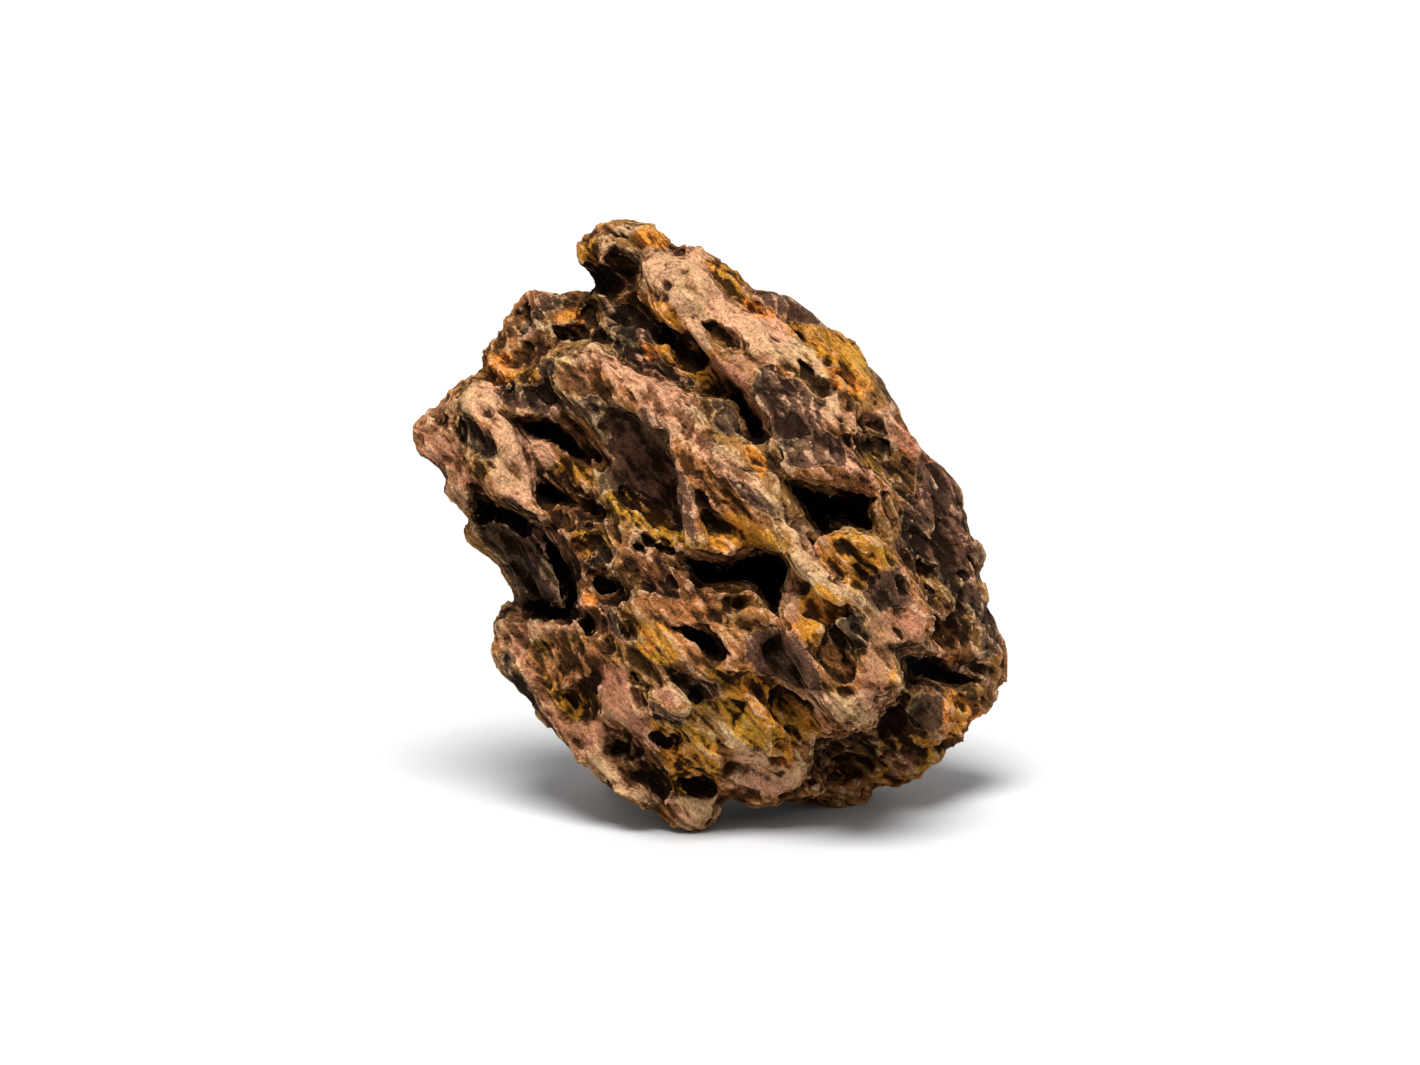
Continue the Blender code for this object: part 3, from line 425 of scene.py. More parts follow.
PATCHES["film"] = {
    "face": [585, 415, 620, 407, 648, 412, 666, 432, 668, 450, 686, 476, 694, 504, 697, 545, 672, 516,
        652, 500, 628, 490, 600, 492, 604, 476, 613, 458, 604, 440, 592, 425],
    "face_patch": [560, 392, 576, 402, 600, 400, 616, 408, 590, 414, 572, 408],
    "crest_tip": [541, 366, 556, 360, 560, 370, 550, 377, 562, 394, 576, 408, 560, 402, 545, 386],
    "left_patch": [500, 390, 520, 383, 546, 388, 566, 402, 560, 416, 540, 414, 514, 408],
    "valley_patch": [604, 310, 640, 307, 660, 330, 654, 350, 664, 366, 700, 386, 690, 390, 640, 368,
        618, 350, 608, 328],
    "slab": [752, 381, 762, 365, 772, 366, 776, 377, 800, 384, 816, 400, 832, 403, 820, 414, 826, 429,
        841, 441, 848, 467, 800, 470, 784, 464, 768, 440, 768, 420, 748, 398],
    "slab_left": [712, 402, 730, 402, 738, 420, 742, 438, 722, 434, 710, 420],
    "sheet_top": [776, 312, 752, 292, 782, 291, 806, 303, 828, 321, 800, 322],
    "right_edge": [870, 356, 884, 372, 903, 404, 902, 420, 888, 400, 876, 380],
    "right_face": [915, 464, 946, 462, 962, 490, 978, 520, 983, 560, 976, 580, 996, 620, 1004, 652,
        985, 660, 976, 624, 948, 590, 912, 560, 898, 540, 900, 506, 917, 494],
    "low_slab": [744, 634, 764, 626, 784, 629, 800, 641, 820, 670, 817, 686, 800, 690, 788, 680, 760, 673,
        742, 656],
    "snout_patch": [860, 592, 880, 571, 896, 566, 906, 590, 913, 605, 880, 611, 862, 606],
    "snout_low": [828, 628, 845, 610, 862, 618, 862, 646, 850, 652, 836, 646],
    "ball": [904, 706, 920, 692, 936, 690, 943, 705, 942, 724, 930, 731, 912, 726],
    "left_outer": [496, 656, 512, 652, 524, 676, 542, 708, 566, 740, 584, 758, 560, 738, 530, 706,
        505, 674],
    # Partly the stone's grey-brown film, partly painted shade darkening the steep wall of the left recess.
    "recess_wall_shade": [478, 530, 500, 522, 540, 524, 560, 560, 566, 600, 540, 612, 510, 608, 517, 590,
        500, 560],
    "left_rim": [494, 626, 500, 608, 516, 604, 504, 620, 500, 638],
    "knob_patch": [606, 247, 612, 243, 626, 250, 640, 258, 638, 268, 622, 264, 608, 257],
    "tip_film": [460, 420, 472, 418, 492, 440, 496, 456, 482, 459, 466, 446],
    "upper_lobe": [544, 296, 562, 294, 560, 308, 548, 312, 540, 330, 520, 338, 530, 316],
    "middle_patch": [600, 546, 618, 548, 616, 566, 600, 571, 588, 562],
    "ledge_left": [603, 603, 612, 606, 620, 626, 634, 632, 634, 640, 618, 634, 608, 622],
    "fold_film": [640, 697, 662, 705, 682, 712, 680, 722, 655, 716],
    "low_olive": [670, 670, 690, 669, 714, 681, 716, 694, 700, 699, 682, 690],
    "crest_shade": [722, 472, 748, 486, 770, 508, 788, 522, 770, 518, 742, 496],
}
PATCHES["orange"] = {
    "flake": [482, 362, 495, 350, 508, 352, 512, 366, 516, 379, 505, 387, 492, 380],
    "chip": [556, 318, 562, 311, 580, 310, 583, 321, 570, 327, 556, 328],
    "crumbly": [818, 368, 842, 370, 866, 378, 876, 388, 862, 399, 840, 393, 826, 382],
    "snout_stain": [800, 590, 830, 590, 848, 604, 838, 620, 812, 622, 797, 610],
    "amber": [774, 738, 788, 738, 793, 748, 784, 765, 774, 760, 768, 748],
    "strip": [742, 300, 756, 302, 776, 318, 764, 322, 748, 314],
    "spike": [746, 446, 756, 442, 766, 470, 758, 478, 748, 464],
    "valley_spot": [640, 344, 656, 346, 664, 360, 648, 358],
    "knob_right": [634, 234, 645, 226, 658, 230, 668, 246, 656, 251, 640, 246],
    "rim": [582, 590, 600, 596, 600, 604, 588, 606],
    "gap_spot": [944, 658, 954, 656, 962, 668, 950, 668],
    "lip_spot": [886, 662, 896, 664, 897, 680, 888, 680],
    "lower_stain": [640, 624, 652, 624, 656, 650, 642, 652],
    "right_stain": [938, 694, 952, 692, 978, 706, 982, 722, 964, 742, 944, 742, 939, 720],
}
# The patches where the rock is smooth, with few bowls.
SMOOTH_PATCHES = ("ridge_top", "ridge_side", "left_crest", "foot_lobe", "foot_painted_light", "low_ridge", "lower_left",
                  "lower_flat", "snout", "snout_front", "cave_lip", "face", "low_slab", "snout_patch",
                  "sheet_top", "ball")
# How widely each stain spreads away from the front; 0 covers about half the rock.
FREE_COVER = {"cream": -0.08, "pink": -0.1, "ochre": 0.0, "brown": -0.12, "film": -0.14, "orange": -0.70}
EDGE_REACH = 8.0  # how far from its edge a patch is still known

WEAR_REACH = 3.2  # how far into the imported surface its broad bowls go
SWELL = 1.0  # how far the rock grows before it's worn
CALMED = 0.6  # share of the relief that smooth patches lack
CARVED_LEVEL = 0.8  # the carved depth that leaves the surface where it is
# Bowls as (along the grain, across it, towards the viewer).
BROAD_BOWLS = (24, 8.5, 9.5)
MIDDLE_BOWLS = (11, 3.9, 4.6)
SMALL_BOWLS = (5.6, 2.3, 2.6)
BOWL_SHIFT = 50  # between the places of broad and middle bowls
LEDGE_RUN = (0.05, 1, 0.45)  # in which ledges follow one another
LEDGE_APART = 3.6

LEAST_ROCK = 7.0  # rock left behind a hollow
MOUTH_MARGIN = 8  # pixels around a hollow's outline
MOUTH_ROOM = 6  # in front of a hollow and behind it
MOUTH_EDGE = 3
SMALL_PITS = 500
PIT_HALF = (2.4, 1.0, 1.6)  # along the grain, across it, and into the rock
SHARP_ANGLE = math.radians(42)  # between facets, from where on their edge shows


def pairs(outline):
    """The corners of an outline, one in each row."""
    return np.reshape(outline, (-1, 2)).astype(float)


def outline_distance(pixels, outline):
    """Pixels inside the outline, negative outside it."""
    ends = np.roll(outline, -1, axis=0)
    nearest = np.full(len(pixels), np.inf)
    inside = np.zeros(len(pixels), bool)
    x, y = pixels[:, 0], pixels[:, 1]
    for (ax, ay), (bx, by) in zip(outline, ends):
        ex, ey = bx - ax, by - ay
        along = np.clip(((x - ax) * ex + (y - ay) * ey) / (ex * ex + ey * ey), 0, 1)
        nearest = np.minimum(nearest, (x - ax - along * ex) ** 2 + (y - ay - along * ey) ** 2)
        if ay != by:
            crosses = (y < ay) != (y < by)
            inside ^= crosses & (x < ax + (y - ay) * ex / ey)
    return np.where(inside, 1, -1) * np.sqrt(nearest)


def within_patches(photo, pixels, outlines):
    """Millimetres inside the nearest of some outlines, down to -EDGE_REACH far outside them."""
    best = np.full(len(pixels), -EDGE_REACH)
    margin = EDGE_REACH / photo.pixel
    for outline in map(pairs, outlines):
        low = outline.min(axis=0) - margin
        high = outline.max(axis=0) + margin
        near = np.flatnonzero(((pixels > low) & (pixels < high)).all(axis=1))
        best[near] = np.maximum(best[near], outline_distance(pixels[near], outline) * photo.pixel)
    return best


def smoothness(photo, places):
    """1 well inside the patches of smooth rock, 0 outside them."""
    named = [item for patches in PATCHES.values() for item in patches.items()]
    outlines = [outline for name, outline in named if name in SMOOTH_PATCHES]
    return smooth_step((within_patches(photo, photo.pixels(places), outlines) + 1) / 3)


def ragged(photo, places, noise):
    """Photograph pixels of places, shifted a little so that outlines break up."""
    return photo.pixels(places) + 3.4 * noise.wander(places, size=7, octaves=3, apart=37)[:, 1:]


def welded(obj):
    """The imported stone's triangles with their shared corners joined."""
    bm = bmesh.new()
    bm.from_mesh(obj.data)
    bmesh.ops.remove_doubles(bm, verts=bm.verts, dist=TINY)
    bmesh.ops.triangulate(bm, faces=bm.faces)
    mesh = bpy.data.meshes.new("whole_stone")
    bm.to_mesh(mesh)
    bm.free()
    return mesh


def extreme_within(values, reach, pick):
    """The largest or smallest value within reach cells, as pick says."""
    for axis in (0, 1):
        best = values
        for step in range(1, reach + 1):
            best = pick(best, pick(np.roll(values, step, axis), np.roll(values, -step, axis)))
        values = best
    return values


class Relief:
    """How far the rock reaches towards and away from the viewer, over the photograph."""

    CELL = 3  # pixels
    FAR = 200.0
    MOUTH_CELLS = 9  # the front bridges holes up to twice as wide
    RIM_CELLS = 3  # by which the back draws in at the outline

    def __init__(self, volume, photo):
        places = volume.near_surface(VOXEL)[1]
        cells = np.round(photo.pixels(places) / self.CELL).astype(int)
        depth = places @ view_axes()[2]
        shape = tuple(np.array(PHOTO_SIZE) // self.CELL + 2)
        front = np.full(shape, -self.FAR)
        back = np.full(shape, self.FAR)
        np.maximum.at(front, tuple(cells.T), depth)
        np.minimum.at(back, tuple(cells.T), depth)
        grown = extreme_within(front, self.MOUTH_CELLS, np.maximum)
        self.front = extreme_within(grown, self.MOUTH_CELLS, np.minimum)
        filled = extreme_within(back, 1, np.minimum)
        self.back = extreme_within(filled, self.RIM_CELLS, np.maximum)

    def at(self, table, pixels):
        cells = np.clip(np.round(pixels / self.CELL).astype(int), 0, np.array(table.shape) - 1)
        return table[tuple(cells.T)]


def hollow_block(volume, photo, relief, depth, outline):
    """The part of the volume that a hollow can reach."""
    low = outline.min(axis=0) - MOUTH_MARGIN
    high = outline.max(axis=0) + MOUTH_MARGIN
    around = relief.at(relief.front, np.array([low, high, (low + high) / 2, *outline]))
    reach = (around[around > -relief.FAR].min() - depth - MOUTH_ROOM, around.max() + MOUTH_ROOM)
    corners = [photo.point(*place) for place in itertools.product(*zip(low, high), reach)]
    return volume.block(np.min(corners, axis=0), np.max(corners, axis=0))


def cut_hollows(volume, photo, relief, noise):
    """Cuts the front's hollows to their depths, and less where the rock behind them is thin."""
    towards = view_axes()[2]
    for depth, numbers in HOLLOWS.values():
        outline = pairs(numbers)
        slices, places = hollow_block(volume, photo, relief, depth, outline)
        flat = places.reshape(-1, 3)
        pixels = ragged(photo, flat, noise)
        inside = outline_distance(pixels, outline) * photo.pixel
        here = np.flatnonzero(inside > -MOUTH_EDGE)
        flat, pixels, inside = flat[here], pixels[here], inside[here]
        front = relief.at(relief.front, pixels)
        room = front - relief.at(relief.back, pixels) - LEAST_ROCK
        wall = 1 - np.clip(inside / (0.35 * depth + 1), 0, 1)
        bowl = depth * np.sqrt(1 - wall ** 2) + noise(flat, size=5) * 0.1 * depth
        gone = np.minimum(inside, np.minimum(bowl, room) - (front - flat @ towards))
        block = volume.field[slices].reshape(-1)
        block[here] = smooth_max(block[here], gone, soft=0.5)
        volume.field[slices] = block.reshape(places.shape[:3])


class Scallops:
    """Bowls round scattered centres, meeting in sharp crests."""

    SIDE = 32
    SCATTER = 0.28
    BIAS = 1.5  # makes shallow bowls more common than deep ones
    SPREAD = 0.62

    def __init__(self, rng):
        shape = (self.SIDE,) * 3
        self.shift = rng.uniform(-self.SCATTER, self.SCATTER, (*shape, 3)).astype(np.float32)
        self.depth = rng.uniform(0, 1, shape).astype(np.float32) ** self.BIAS

    def __call__(self, points, size):
        """Depth between 0 and 1 where the centres lie about size apart along each axis."""
        scaled = points / np.array(size) - 0.5
        cell = np.floor(scaled).astype(int)
        deepest = np.zeros(len(points))
        for offset in np.ndindex(2, 2, 2):
            near = cell + offset
            index = tuple((near % self.SIDE).T)
            away = ((scaled - near - self.shift[index]) ** 2).sum(axis=1)
            deepest = np.maximum(deepest, self.depth[index] * (1 - away / self.SPREAD))
        return deepest


def drifted(own, noise):
    """Places along the grain's axes, shifted so that bowls and ledges bend and break up."""
    return own + noise.wander(own, size=11, octaves=2, apart=17) * (3.5, 1.6, 1.8)


def allowed_relief(photo, places, rock, thinnest, rise, least, most):
    """How much relief the rock bears: less where it is thin, and less on smooth patches."""
    allowed = np.clip((rock - thinnest) * rise, least, most)
    allowed *= 1 - CALMED * smoothness(photo, places)
    return allowed


def roughen(volume, photo, noise, scallops, half_thickness):
    """Wears the surface into broad bowls along the grain, less where the rock is thin."""
    index, places = volume.near_surface(WEAR_REACH)
    rock = half_thickness[tuple(index.T)]
    allowed = allowed_relief(photo, places, rock, thinnest=0.8, rise=0.9, least=0, most=WEAR_REACH)
    bowls = scallops(drifted(places @ grain_axes().T, noise), BROAD_BOWLS)
    volume.field[tuple(index.T)] += (allowed * bowls - SWELL).astype(np.float32)


def carved_depth(own, noise, scallops):
    """How deep the fine relief cuts in at places along the grain."""
    bent = drifted(own, noise)
    shaken = own + noise.layered(own, size=5, octaves=2)[:, None] * 0.8
    waver = 0.8 * noise.layered(own, size=9, octaves=2, drawn=(0.2, 1, 1))
    plates = noise.layered(own, size=9, octaves=3, shift=7, drawn=(0.5, 1, 0.8))
    veins = noise.layered(own, size=13, octaves=3, shift=91, drawn=(0.3, 1, 0.9))
    cuts = {
        "middle bowls": (1.8, scallops(bent + BOWL_SHIFT, MIDDLE_BOWLS)),
        "small bowls": (0.5, scallops(shaken, SMALL_BOWLS)),
        "ledges": (0.8, 1 - (bent @ LEDGE_RUN / LEDGE_APART + waver) % 1),
        "plates": (0.7, smooth_step(plates / 0.08)),
        "cracks": (0.8, smooth_step(1 - np.abs(veins) / 0.06)),
    }
    return sum(depth * share for depth, share in cuts.values())


def carve(mesh, volume, photo, half_thickness, noise, scallops):
    """Moves the mesh's corners into small bowls, ledges and cracks."""
    corners = vertex_places(mesh)
    depth = carved_depth(corners @ grain_axes().T, noise, scallops)
    rock = volume.sample(corners, half_thickness)
    allowed = allowed_relief(photo, corners, rock, thinnest=1.2, rise=0.7, least=0.2, most=1)
    corners -= vertex_normals(mesh) * ((depth - CARVED_LEVEL) * allowed)[:, None]
    place_vertices(mesh, corners * MM)


def place_vertices(mesh, metres):
    mesh.vertices.foreach_set("co", metres.ravel())
    mesh.update()


def scatter_pits(volume, rng, noise):
    """Many small hollows all over, their long sides along the grain."""
    def uneven(places):
        shifts = 0.9 * noise.wander(places.reshape(-1, 3), size=6, octaves=2, apart=13)
        return shifts.reshape(places.shape)

    places = volume.near_surface(VOXEL / 2)[1]
    along = grain_axes()[0]
    chosen = places[rng.choice(len(places), SMALL_PITS, replace=False)]
    for place, outward in zip(chosen, volume.outward(chosen)):
        half = np.array(PIT_HALF) * rng.uniform(0.5, 1.5) ** 1.5
        flat = along - outward * (along @ outward)
        flat /= max(np.linalg.norm(flat), TINY)
        own = np.array([flat, np.cross(outward, flat), outward])
        volume.scoop(place, own, half, uneven, soft=0.3)


def largest_island(count, faces):
    """Which faces belong to the piece of surface with the most of them."""
    ends = np.concatenate([faces[:, [i, i - 1]] for i in range(4)])
    island, before = np.arange(count), None
    while before is None or (island != before).any():
        before = island.copy()
        lowest = island[ends].min(axis=1)
        for side in (0, 1):
            np.minimum.at(island, ends[:, side], lowest)
        island = island[island]
    owner = island[faces[:, 0]]
    return owner == np.bincount(owner).argmax()


def surface_mesh(volume, name):
    """The volume's surface in metres, without crumbs that were cut loose."""
    corners, quads = volume.surface()
    quads = quads[largest_island(len(corners), quads)]
    kept, quads = np.unique(quads, return_inverse=True)
    mesh = bpy.data.meshes.new(name)
    mesh.from_pydata((corners[kept] * MM).tolist(), [], quads.reshape(-1, 4).tolist())
    return mesh


def reduced(obj, triangles):
    """Swaps the object's mesh for one of about so many triangles."""
    mesh = obj.data
    mesh.calc_loop_triangles()
    modifier = obj.modifiers.new("triangles", "DECIMATE")
    modifier.ratio = triangles / len(mesh.loop_triangles)
    small = bpy.data.meshes.new_from_object(obj.evaluated_get(bpy.context.evaluated_depsgraph_get()))
    obj.modifiers.clear()
    obj.data = small
    bpy.data.meshes.remove(mesh)
    small.name = obj.name
    return small


def standing_out(volume, corners, reach):
    """How much more air than rock lies within reach voxels of each corner, 0 on a flat face."""
    share = blurred(np.clip(volume.field / (VOXEL * 1.5), -1, 1), reach)
    return volume.sample(corners, share)


def bend(mesh, corners, normals):
    """How sharply the mesh turns away at each corner, positive on crests and negative in creases."""
    ends = np.array([e.vertices for e in mesh.edges])
    away = unit(corners[ends[:, 1]] - corners[ends[:, 0]])
    owner = ends.ravel(order="F")
    count = np.maximum(np.bincount(owner, minlength=len(corners)), 1)
    falls = [-(away * normals[ends[:, 0]]).sum(axis=1), (away * normals[ends[:, 1]]).sum(axis=1)]
    sharp = np.bincount(owner, np.concatenate(falls), len(corners)) / count
    around = np.bincount(owner, sharp[ends[:, ::-1].ravel(order="F")], len(corners)) / count
    return (sharp + around) / 2


def give(mesh, name, values):
    mesh.attributes.new(name, "FLOAT", "POINT").data.foreach_set("value", values.astype(np.float32))


def form_signals(mesh, volume, corners, normals):
    """Stores on each vertex how far it stands out from the rock around it."""
    narrow, wide = (standing_out(volume, corners, reach) for reach in (1, 3))
    give(mesh, "crest", 0.6 * narrow + 0.4 * wide)
    give(mesh, "bend", bend(mesh, corners, normals))
    give(mesh, "hollow", -standing_out(volume, corners, 5))
    # How closed in by rock each corner is; the material paints cave shade from it.
    give(mesh, "deep", -standing_out(volume, corners, 14))


def stain_signals(mesh, photo, noise, corners, normals):
    """Stores on each vertex how far inside each stain it lies, by outlines or by chance, and how far inside
    the hollows painted with black shade.
    """
    facing = smooth_step((normals @ view_axes()[2] + 0.1) / 0.35)
    pixels = ragged(photo, corners, noise)
    own = corners @ grain_axes().T
    for i, (kind, outlines) in enumerate(PATCHES.items(), 1):
        placed = within_patches(photo, pixels, outlines.values())
        wander = noise.layered(own, size=13, octaves=3, shift=40 * i, drawn=(0.5, 1, 0.8))
        free = EDGE_REACH * (FREE_COVER[kind] + wander)
        give(mesh, kind, np.clip(placed * facing + free * (1 - facing), -EDGE_REACH, EDGE_REACH))
    # Where the painted black shade of the unlit hollows lies.
    shade = within_patches(photo, pixels, [HOLLOWS[name][1] for name in BLACK_HOLLOWS])
    give(mesh, "shade", shade * facing - EDGE_REACH * (1 - facing))
    give(mesh, "smooth", smoothness(photo, corners) * facing)


class Nodes:
    """A new material, and short names for the shader nodes that it is made of."""

    def __init__(self, name):
        self.material = bpy.data.materials.new(name)
        self.material.use_nodes = True
        self.tree = self.material.node_tree
        self.signals = {}

    def shade(self, inputs):
        shader = self.tree.nodes["Principled BSDF"]
        for name, value in inputs.items():
            self.put(shader.inputs[name], value)

    def new(self, kind, inputs=(), **settings):
        node = self.tree.nodes.new(kind)
        for name, value in settings.items():
            setattr(node, name, value)
        for socket, value in inputs:
            self.put(node.inputs[socket], value)
        return node

    def put(self, socket, value):
        if isinstance(value, bpy.types.NodeSocket):
            self.tree.links.new(value, socket)
        else:
            socket.default_value = (*value, 1) if socket.type == "RGBA" else value

    def math(self, operation, a, b=0.0):
        return self.new("ShaderNodeMath", [(0, a), (1, b)], operation=operation).outputs[0]

    def vector_math(self, operation, a, b):
        return self.new("ShaderNodeVectorMath", [(0, a), (1, b)], operation=operation).outputs

    def times(self, a, b):
        return self.math("MULTIPLY", a, b)

    def signal(self, name):
        """A value named before, or else the one of that name on the vertices."""
        if name not in self.signals:
            self.signals[name] = self.new("ShaderNodeAttribute", attribute_name=name).outputs["Fac"]
        return self.signals[name]

    def blend(self, base=0.0, **shares):
        """A sum of named signals, each times its share."""
        for name, share in shares.items():
            base = self.math("ADD", base, self.times(self.signal(name), share))
        return base

    def step(self, value, low, high):
        inputs = [("Value", value), ("From Min", low), ("From Max", high)]
        return self.new("ShaderNodeMapRange", inputs, interpolation_type="SMOOTHSTEP").outputs[0]

    def mix(self, factor, a, b):
        """A mix of two colours, at the node's inputs 6 and 7 and its output 2."""
        return self.new("ShaderNodeMix", [(0, factor), (6, a), (7, b)], data_type="RGBA").outputs[2]

    def texture(self, kind, vector, size, **inputs):
        """The outputs of a texture whose features have a size in millimetres."""
        inputs = [("Vector", vector), ("Scale", 1 / (size * MM)), *inputs.items()]
        return self.new("ShaderNodeTex" + kind, inputs).outputs

    def noise(self, vector, size, detail, rough, distortion=0.0):
        """Noise about 0."""
        inputs = {"Detail": detail, "Roughness": rough, "Distortion": distortion}
        return self.math("SUBTRACT", self.texture("Noise", vector, size, **inputs)["Fac"], 0.5)

    def bowls(self, vector, size, detail=0.0):
        """0 at the middle of scattered bowls, rising to sharp crests between them."""
        away = self.texture("Voronoi", vector, size, Detail=detail, Roughness=0.6)["Distance"]
        return self.times(away, away)

    def lines(self, vector, size, rough, distortion):
        """1 along thin wandering lines, about size apart."""
        away = self.math("ABSOLUTE", self.noise(vector, size, 5, rough, distortion))
        return self.step(away, 0.02, 0.005)

    def shifted(self, vector, size, amount):
        """Places moved by up to about amount millimetres, with shifts that wander over size."""
        wander = self.texture("Noise", vector, size, Detail=3.0)["Color"]
        scaled = self.vector_math("MULTIPLY", wander, (amount * MM,) * 3)[0]
        return self.vector_math("ADD", vector, scaled)[0]

    def along_grain(self, *stretch):
        """Places turned into the grain's own axes and drawn out along it."""
        place = self.new("ShaderNodeTexCoord").outputs["Object"]
        rows = [tuple(axis * scale) for axis, scale in zip(grain_axes(), stretch)]
        parts = [self.vector_math("DOT_PRODUCT", place, row)["Value"] for row in rows]
        return self.new("ShaderNodeCombineXYZ", list(enumerate(parts))).outputs[0]


# Each kind of rock or stain: its colour where its tone is low, as in hollows, and where it is high, as on
# high places; this tone runs partly with painted light and shade.
UMBER = (0.060, 0.024, 0.005), (0.36, 0.152, 0.048)
CREAM = (0.210, 0.094, 0.040), (0.60, 0.335, 0.188)
PINK = (0.160, 0.060, 0.025), (0.42, 0.186, 0.102)
OCHRE = (0.040, 0.015, 0.001), (0.560, 0.245, 0.030)
BROWN = (0.016, 0.006, 0.002), (0.140, 0.058, 0.018)
FILM = (0.020, 0.009, 0.005), (0.110, 0.056, 0.034)
ORANGE = (0.190, 0.052, 0.008), (0.720, 0.255, 0.040)
# Pale crest colour, which on sharp crest edges also serves as a painted highlight.
RIM = (0.62, 0.375, 0.22)
# Painted shade: the near black that caves and enclosed hollows are painted with.
CAVE_SHADE = (0.003, 0.0013, 0.0006)
TINTS = (1.09, 0.95, 0.92), (0.93, 1.03, 0.86)
# From the lowest stain to the topmost: its colours, half width of its edge, and strength.
STAINS = {
    "ochre": (OCHRE, 0.8, 1.0),
    "brown": (BROWN, 0.9, 0.9),
    "pink": (PINK, 0.6, 1.0),
    "cream": (CREAM, 0.6, 1.0),
    "film": (FILM, 0.25, 0.96),
    "orange": (ORANGE, 0.5, 1.0),
}


def name_noises(n):
    """The noises and sums that the rock's marks are made from."""
    drawn = n.along_grain(0.35, 1.0, 0.8)
    even = n.along_grain(1.0, 1.0, 1.0)
    pocked = n.shifted(n.along_grain(0.5, 1.0, 0.9), 5, 5)
    n.signals.update(
        broad=n.noise(drawn, 9, 5, 0.62, 0.6),
        middle=n.noise(drawn, 3.2, 6, 0.68, 0.4),
        fine=n.noise(even, 1.1, 4, 0.7),
        grain=n.noise(even, 0.42, 3, 0.6),
        strata=n.noise(n.along_grain(0.07, 1.0, 1.0), 1.5, 4, 0.6),
        region=n.noise(drawn, 15, 3, 0.6),
        bowls=n.bowls(pocked, 4.2, 1.0),
        pocks=n.bowls(pocked, 1.5),
        dots=n.bowls(n.shifted(even, 2, 1.5), 1.6),
    )
    n.signals.update(
        rugged=n.blend(bowls=1.3, pocks=0.35, middle=1.5),
        calm=n.blend(1.0, smooth=-0.4),
        edge=n.blend(broad=4.0, middle=5.0, fine=2.0),
    )
    n.signals["calmed"] = n.times(n.signal("rugged"), n.signal("calm"))
    n.signals["lift"] = n.blend(calmed=1.0, fine=1.1, strata=0.6)
    # Tone that varies at random, lighter on crests and darker in hollows: partly the stone's own colour,
    # partly painted light and shade.
    n.signals["mottle_light_and_shade"] = n.blend(rugged=0.6, fine=0.6, broad=1.5, strata=0.8, crest=1.2, hollow=-0.9)


def stained(n):
    """Umber rock under layers of stain, and the film's pale edge."""
    rock = n.mix(n.step(n.signal("mottle_light_and_shade"), -0.25, 0.75), *UMBER)
    for kind, (tones, soft, strength) in STAINS.items():
        cover = n.step(n.blend(edge=1.0, **{kind: 1.0}), -soft, soft)
        stain = n.mix(n.step(n.signal("mottle_light_and_shade"), -0.25, 0.65), *tones)
        rock = n.mix(n.times(cover, strength), rock, stain)
        n.signals[kind + "_cover"] = cover
    from_edge = n.math("ABSOLUTE", n.blend(0.25, film=1.0, edge=1.0))
    return n.mix(n.times(n.step(from_edge, 0.32, 0.05), 0.55), rock, CREAM[1])


def rimmed(n, rock):
    """Pale rims on crests: partly the stone's own pale crests, partly a painted highlight along sharp
    edges.
    """
    # Partly painted highlight: strongest where the surface turns most sharply outward.
    rim = n.step(n.blend(crest=0.6, bend=1.6, lift=0.2, fine=0.4), 0.44, 0.66)
    return n.mix(n.times(rim, 0.65), rock, RIM)


def darkened(n, rock):
    """Dirt and painted shade in creases and hollows, and painted black shade in the caves."""
    # Darkening in creases and hollows: partly grime, partly painted shade where light does not reach.
    dirt_and_shade = n.step(n.blend(hollow=1.0, bend=-1.2, lift=-0.4, broad=0.4), -0.13, 0.38)
    rock = n.mix(n.times(dirt_and_shade, 0.8), rock, BROWN[0])
    # Painted black shade over the hollows that no light reaches.
    rock = n.mix(n.step(n.blend(shade=1.0, middle=4.0, fine=2.0), 0.2, 4.2), rock, CAVE_SHADE)
    # Painted shade deep in the caves, where rock closes in all round.
    return n.mix(n.step(n.signal("deep"), 0.42, 0.72), rock, CAVE_SHADE)


def broken(n, rock):
    """Dark cracks and pores."""
    veins = n.lines(n.along_grain(0.3, 1.0, 0.9), 14, 0.6, 0.8)
    n.signals["crack"] = n.times(veins, n.step(n.signal("broad"), -0.02, 0.12))
    rock = n.mix(n.times(n.times(n.signal("crack"), n.signal("calm")), 0.5), rock, BROWN[0])
    n.signals["pores"] = n.step(n.blend(dots=1.0, middle=0.25), 0.10, 0.02)
    return n.mix(n.times(n.signal("pores"), 0.3), rock, BROWN[0])


def flecked(n, rock):
    """Pale flecks, and pale threads on high places."""
    flecks = n.step(n.blend(fine=1.0, grain=0.8, middle=0.5), 0.17, 0.30)
    rock = n.mix(n.times(flecks, 0.15), rock, RIM)
    threads = n.lines(n.along_grain(0.25, 1.0, 0.9), 4.5, 0.65, 0.5)
    high = n.step(n.blend(crest=1.0, middle=1.0), -0.05, 0.15)
    return n.mix(n.times(n.times(threads, high), 0.3), rock, RIM)


def tinted(n, rock):
    """Broad shifts between warm and olive, and a fine speckle."""
    tint = n.mix(n.step(n.blend(region=1.0, fine=0.3), -0.14, 0.14), *TINTS)
    speckle = n.blend(0.90, fine=1.6, grain=1.5, strata=0.9, middle=0.6)
    return n.vector_math("MULTIPLY", n.vector_math("MULTIPLY", rock, tint)[0], speckle)[0]


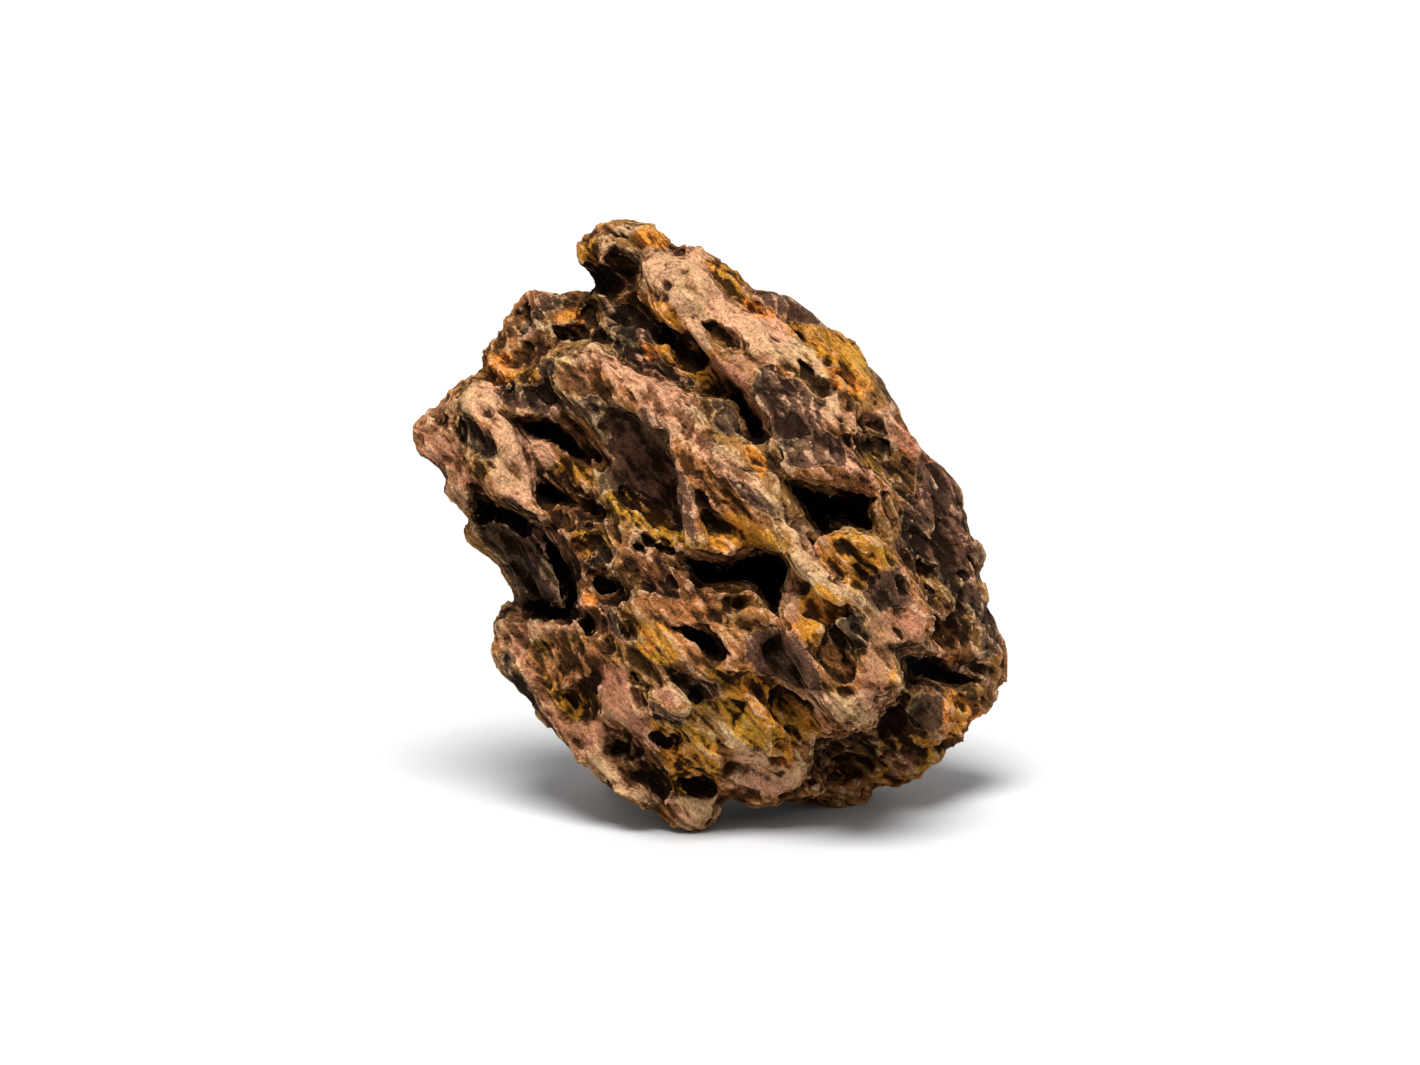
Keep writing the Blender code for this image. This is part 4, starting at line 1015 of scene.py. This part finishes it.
def clay_rock():
    """Tan and pink rock with pale crests and painted highlights on their edges, dark film on its flats,
    ochre in its hollows, and painted shade in its creases and caves.
    """
    n = Nodes("clay_rock")
    name_noises(n)
    rock = stained(n)
    for mark in (rimmed, darkened, broken, flecked, tinted):
        rock = mark(n, rock)
    height = n.blend(lift=1.0, grain=0.45, film_cover=-0.35, crack=-0.4, pores=-0.3)
    bump = n.new("ShaderNodeBump", [("Height", height), ("Strength", 1.0), ("Distance", MM)])
    n.shade({
        "Base Color": rock,
        "Roughness": n.blend(0.74, fine=0.3),
        "Specular IOR Level": 0.07,
        "Normal": bump.outputs[0],
    })
    return n.material


def placed(name, data):
    obj = bpy.data.objects.new(name, data)
    bpy.context.scene.collection.objects.link(obj)
    return obj


def sculpted(whole, photo, noise, scallops, rng):
    """The volume with its bowls, hollows and pits, and the mesh of its carved surface."""
    volume = Volume(whole)
    volume.soften()
    relief = Relief(volume, photo)
    half_thickness = volume.rock_behind(5)
    roughen(volume, photo, noise, scallops, half_thickness)
    cut_hollows(volume, photo, relief, noise)
    scatter_pits(volume, rng, noise)
    mesh = surface_mesh(volume, "dragon_stone")
    carve(mesh, volume, photo, half_thickness, noise, scallops)
    return volume, mesh


def make_stone():
    whole = welded(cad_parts["stone"])
    photo = Photo(vertex_places(whole))
    rng = np.random.default_rng(SEED)
    noise = Noise(rng)
    volume, mesh = sculpted(whole, photo, noise, Scallops(rng), rng)
    bpy.data.meshes.remove(whole)
    stone = placed("dragon_stone", mesh)
    mesh = reduced(stone, TRIANGLES)
    metres = np.array([v.co for v in mesh.vertices])
    place_vertices(mesh, np.clip(metres, *CAD_BOX))
    mesh.shade_smooth()
    mesh.set_sharp_from_angle(angle=SHARP_ANGLE)
    corners, normals = vertex_places(mesh), vertex_normals(mesh)
    form_signals(mesh, volume, corners, normals)
    stain_signals(mesh, photo, noise, corners, normals)
    mesh.materials.append(clay_rock())
    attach(stone, "root")
    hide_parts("stone")
    return photo


def make_floor():
    mesh = bpy.data.meshes.new("floor")
    half, grey = 6.0, 0.48
    corners = [(-half, -half, 0), (half, -half, 0), (half, half, 0), (-half, half, 0)]
    mesh.from_pydata(corners, [], [(0, 1, 2, 3)])
    floor = placed("floor", mesh)
    n = Nodes("pale_floor")
    n.shade({"Base Color": (grey, grey, grey), "Roughness": 0.6, "Specular IOR Level": 0.2})
    mesh.materials.append(n.material)


def make_lights():
    """Soft light from high above, and a weak even light from all round."""
    world = bpy.data.worlds.new("studio")
    world.use_nodes = True
    back = world.node_tree.nodes["Background"]
    back.inputs["Color"].default_value = (1, 1, 1, 1)
    back.inputs["Strength"].default_value = 0.6
    bpy.context.scene.world = world
    light = bpy.data.lights.new("softbox", "SUN")
    light.energy = 6.0
    light.angle = math.radians(32)
    lamp = placed("softbox", light)
    towards_light = Vector((-0.05, -0.36, 0.93))
    lamp.rotation_euler = towards_light.to_track_quat("Z", "Y").to_euler()
    view = bpy.context.scene.view_settings
    view.view_transform = "Standard"
    view.look = "None"
    view.exposure = 0


def make_camera(photo):
    lens = bpy.data.cameras.new("camera")
    camera = placed("camera", lens)
    towards = Vector(view_axes()[2])
    middle = Vector(photo.point(PHOTO_SIZE[0] / 2, PHOTO_SIZE[1] / 2, 0)) * MM
    camera.location = middle + towards * CAMERA_DISTANCE
    camera.rotation_euler = towards.to_track_quat("Z", "Y").to_euler()
    lens.lens = lens.sensor_width * CAMERA_DISTANCE / (PHOTO_SIZE[0] * photo.pixel * MM)
    bpy.context.scene.camera = camera


photo = make_stone()
make_floor()
make_lights()
make_camera(photo)
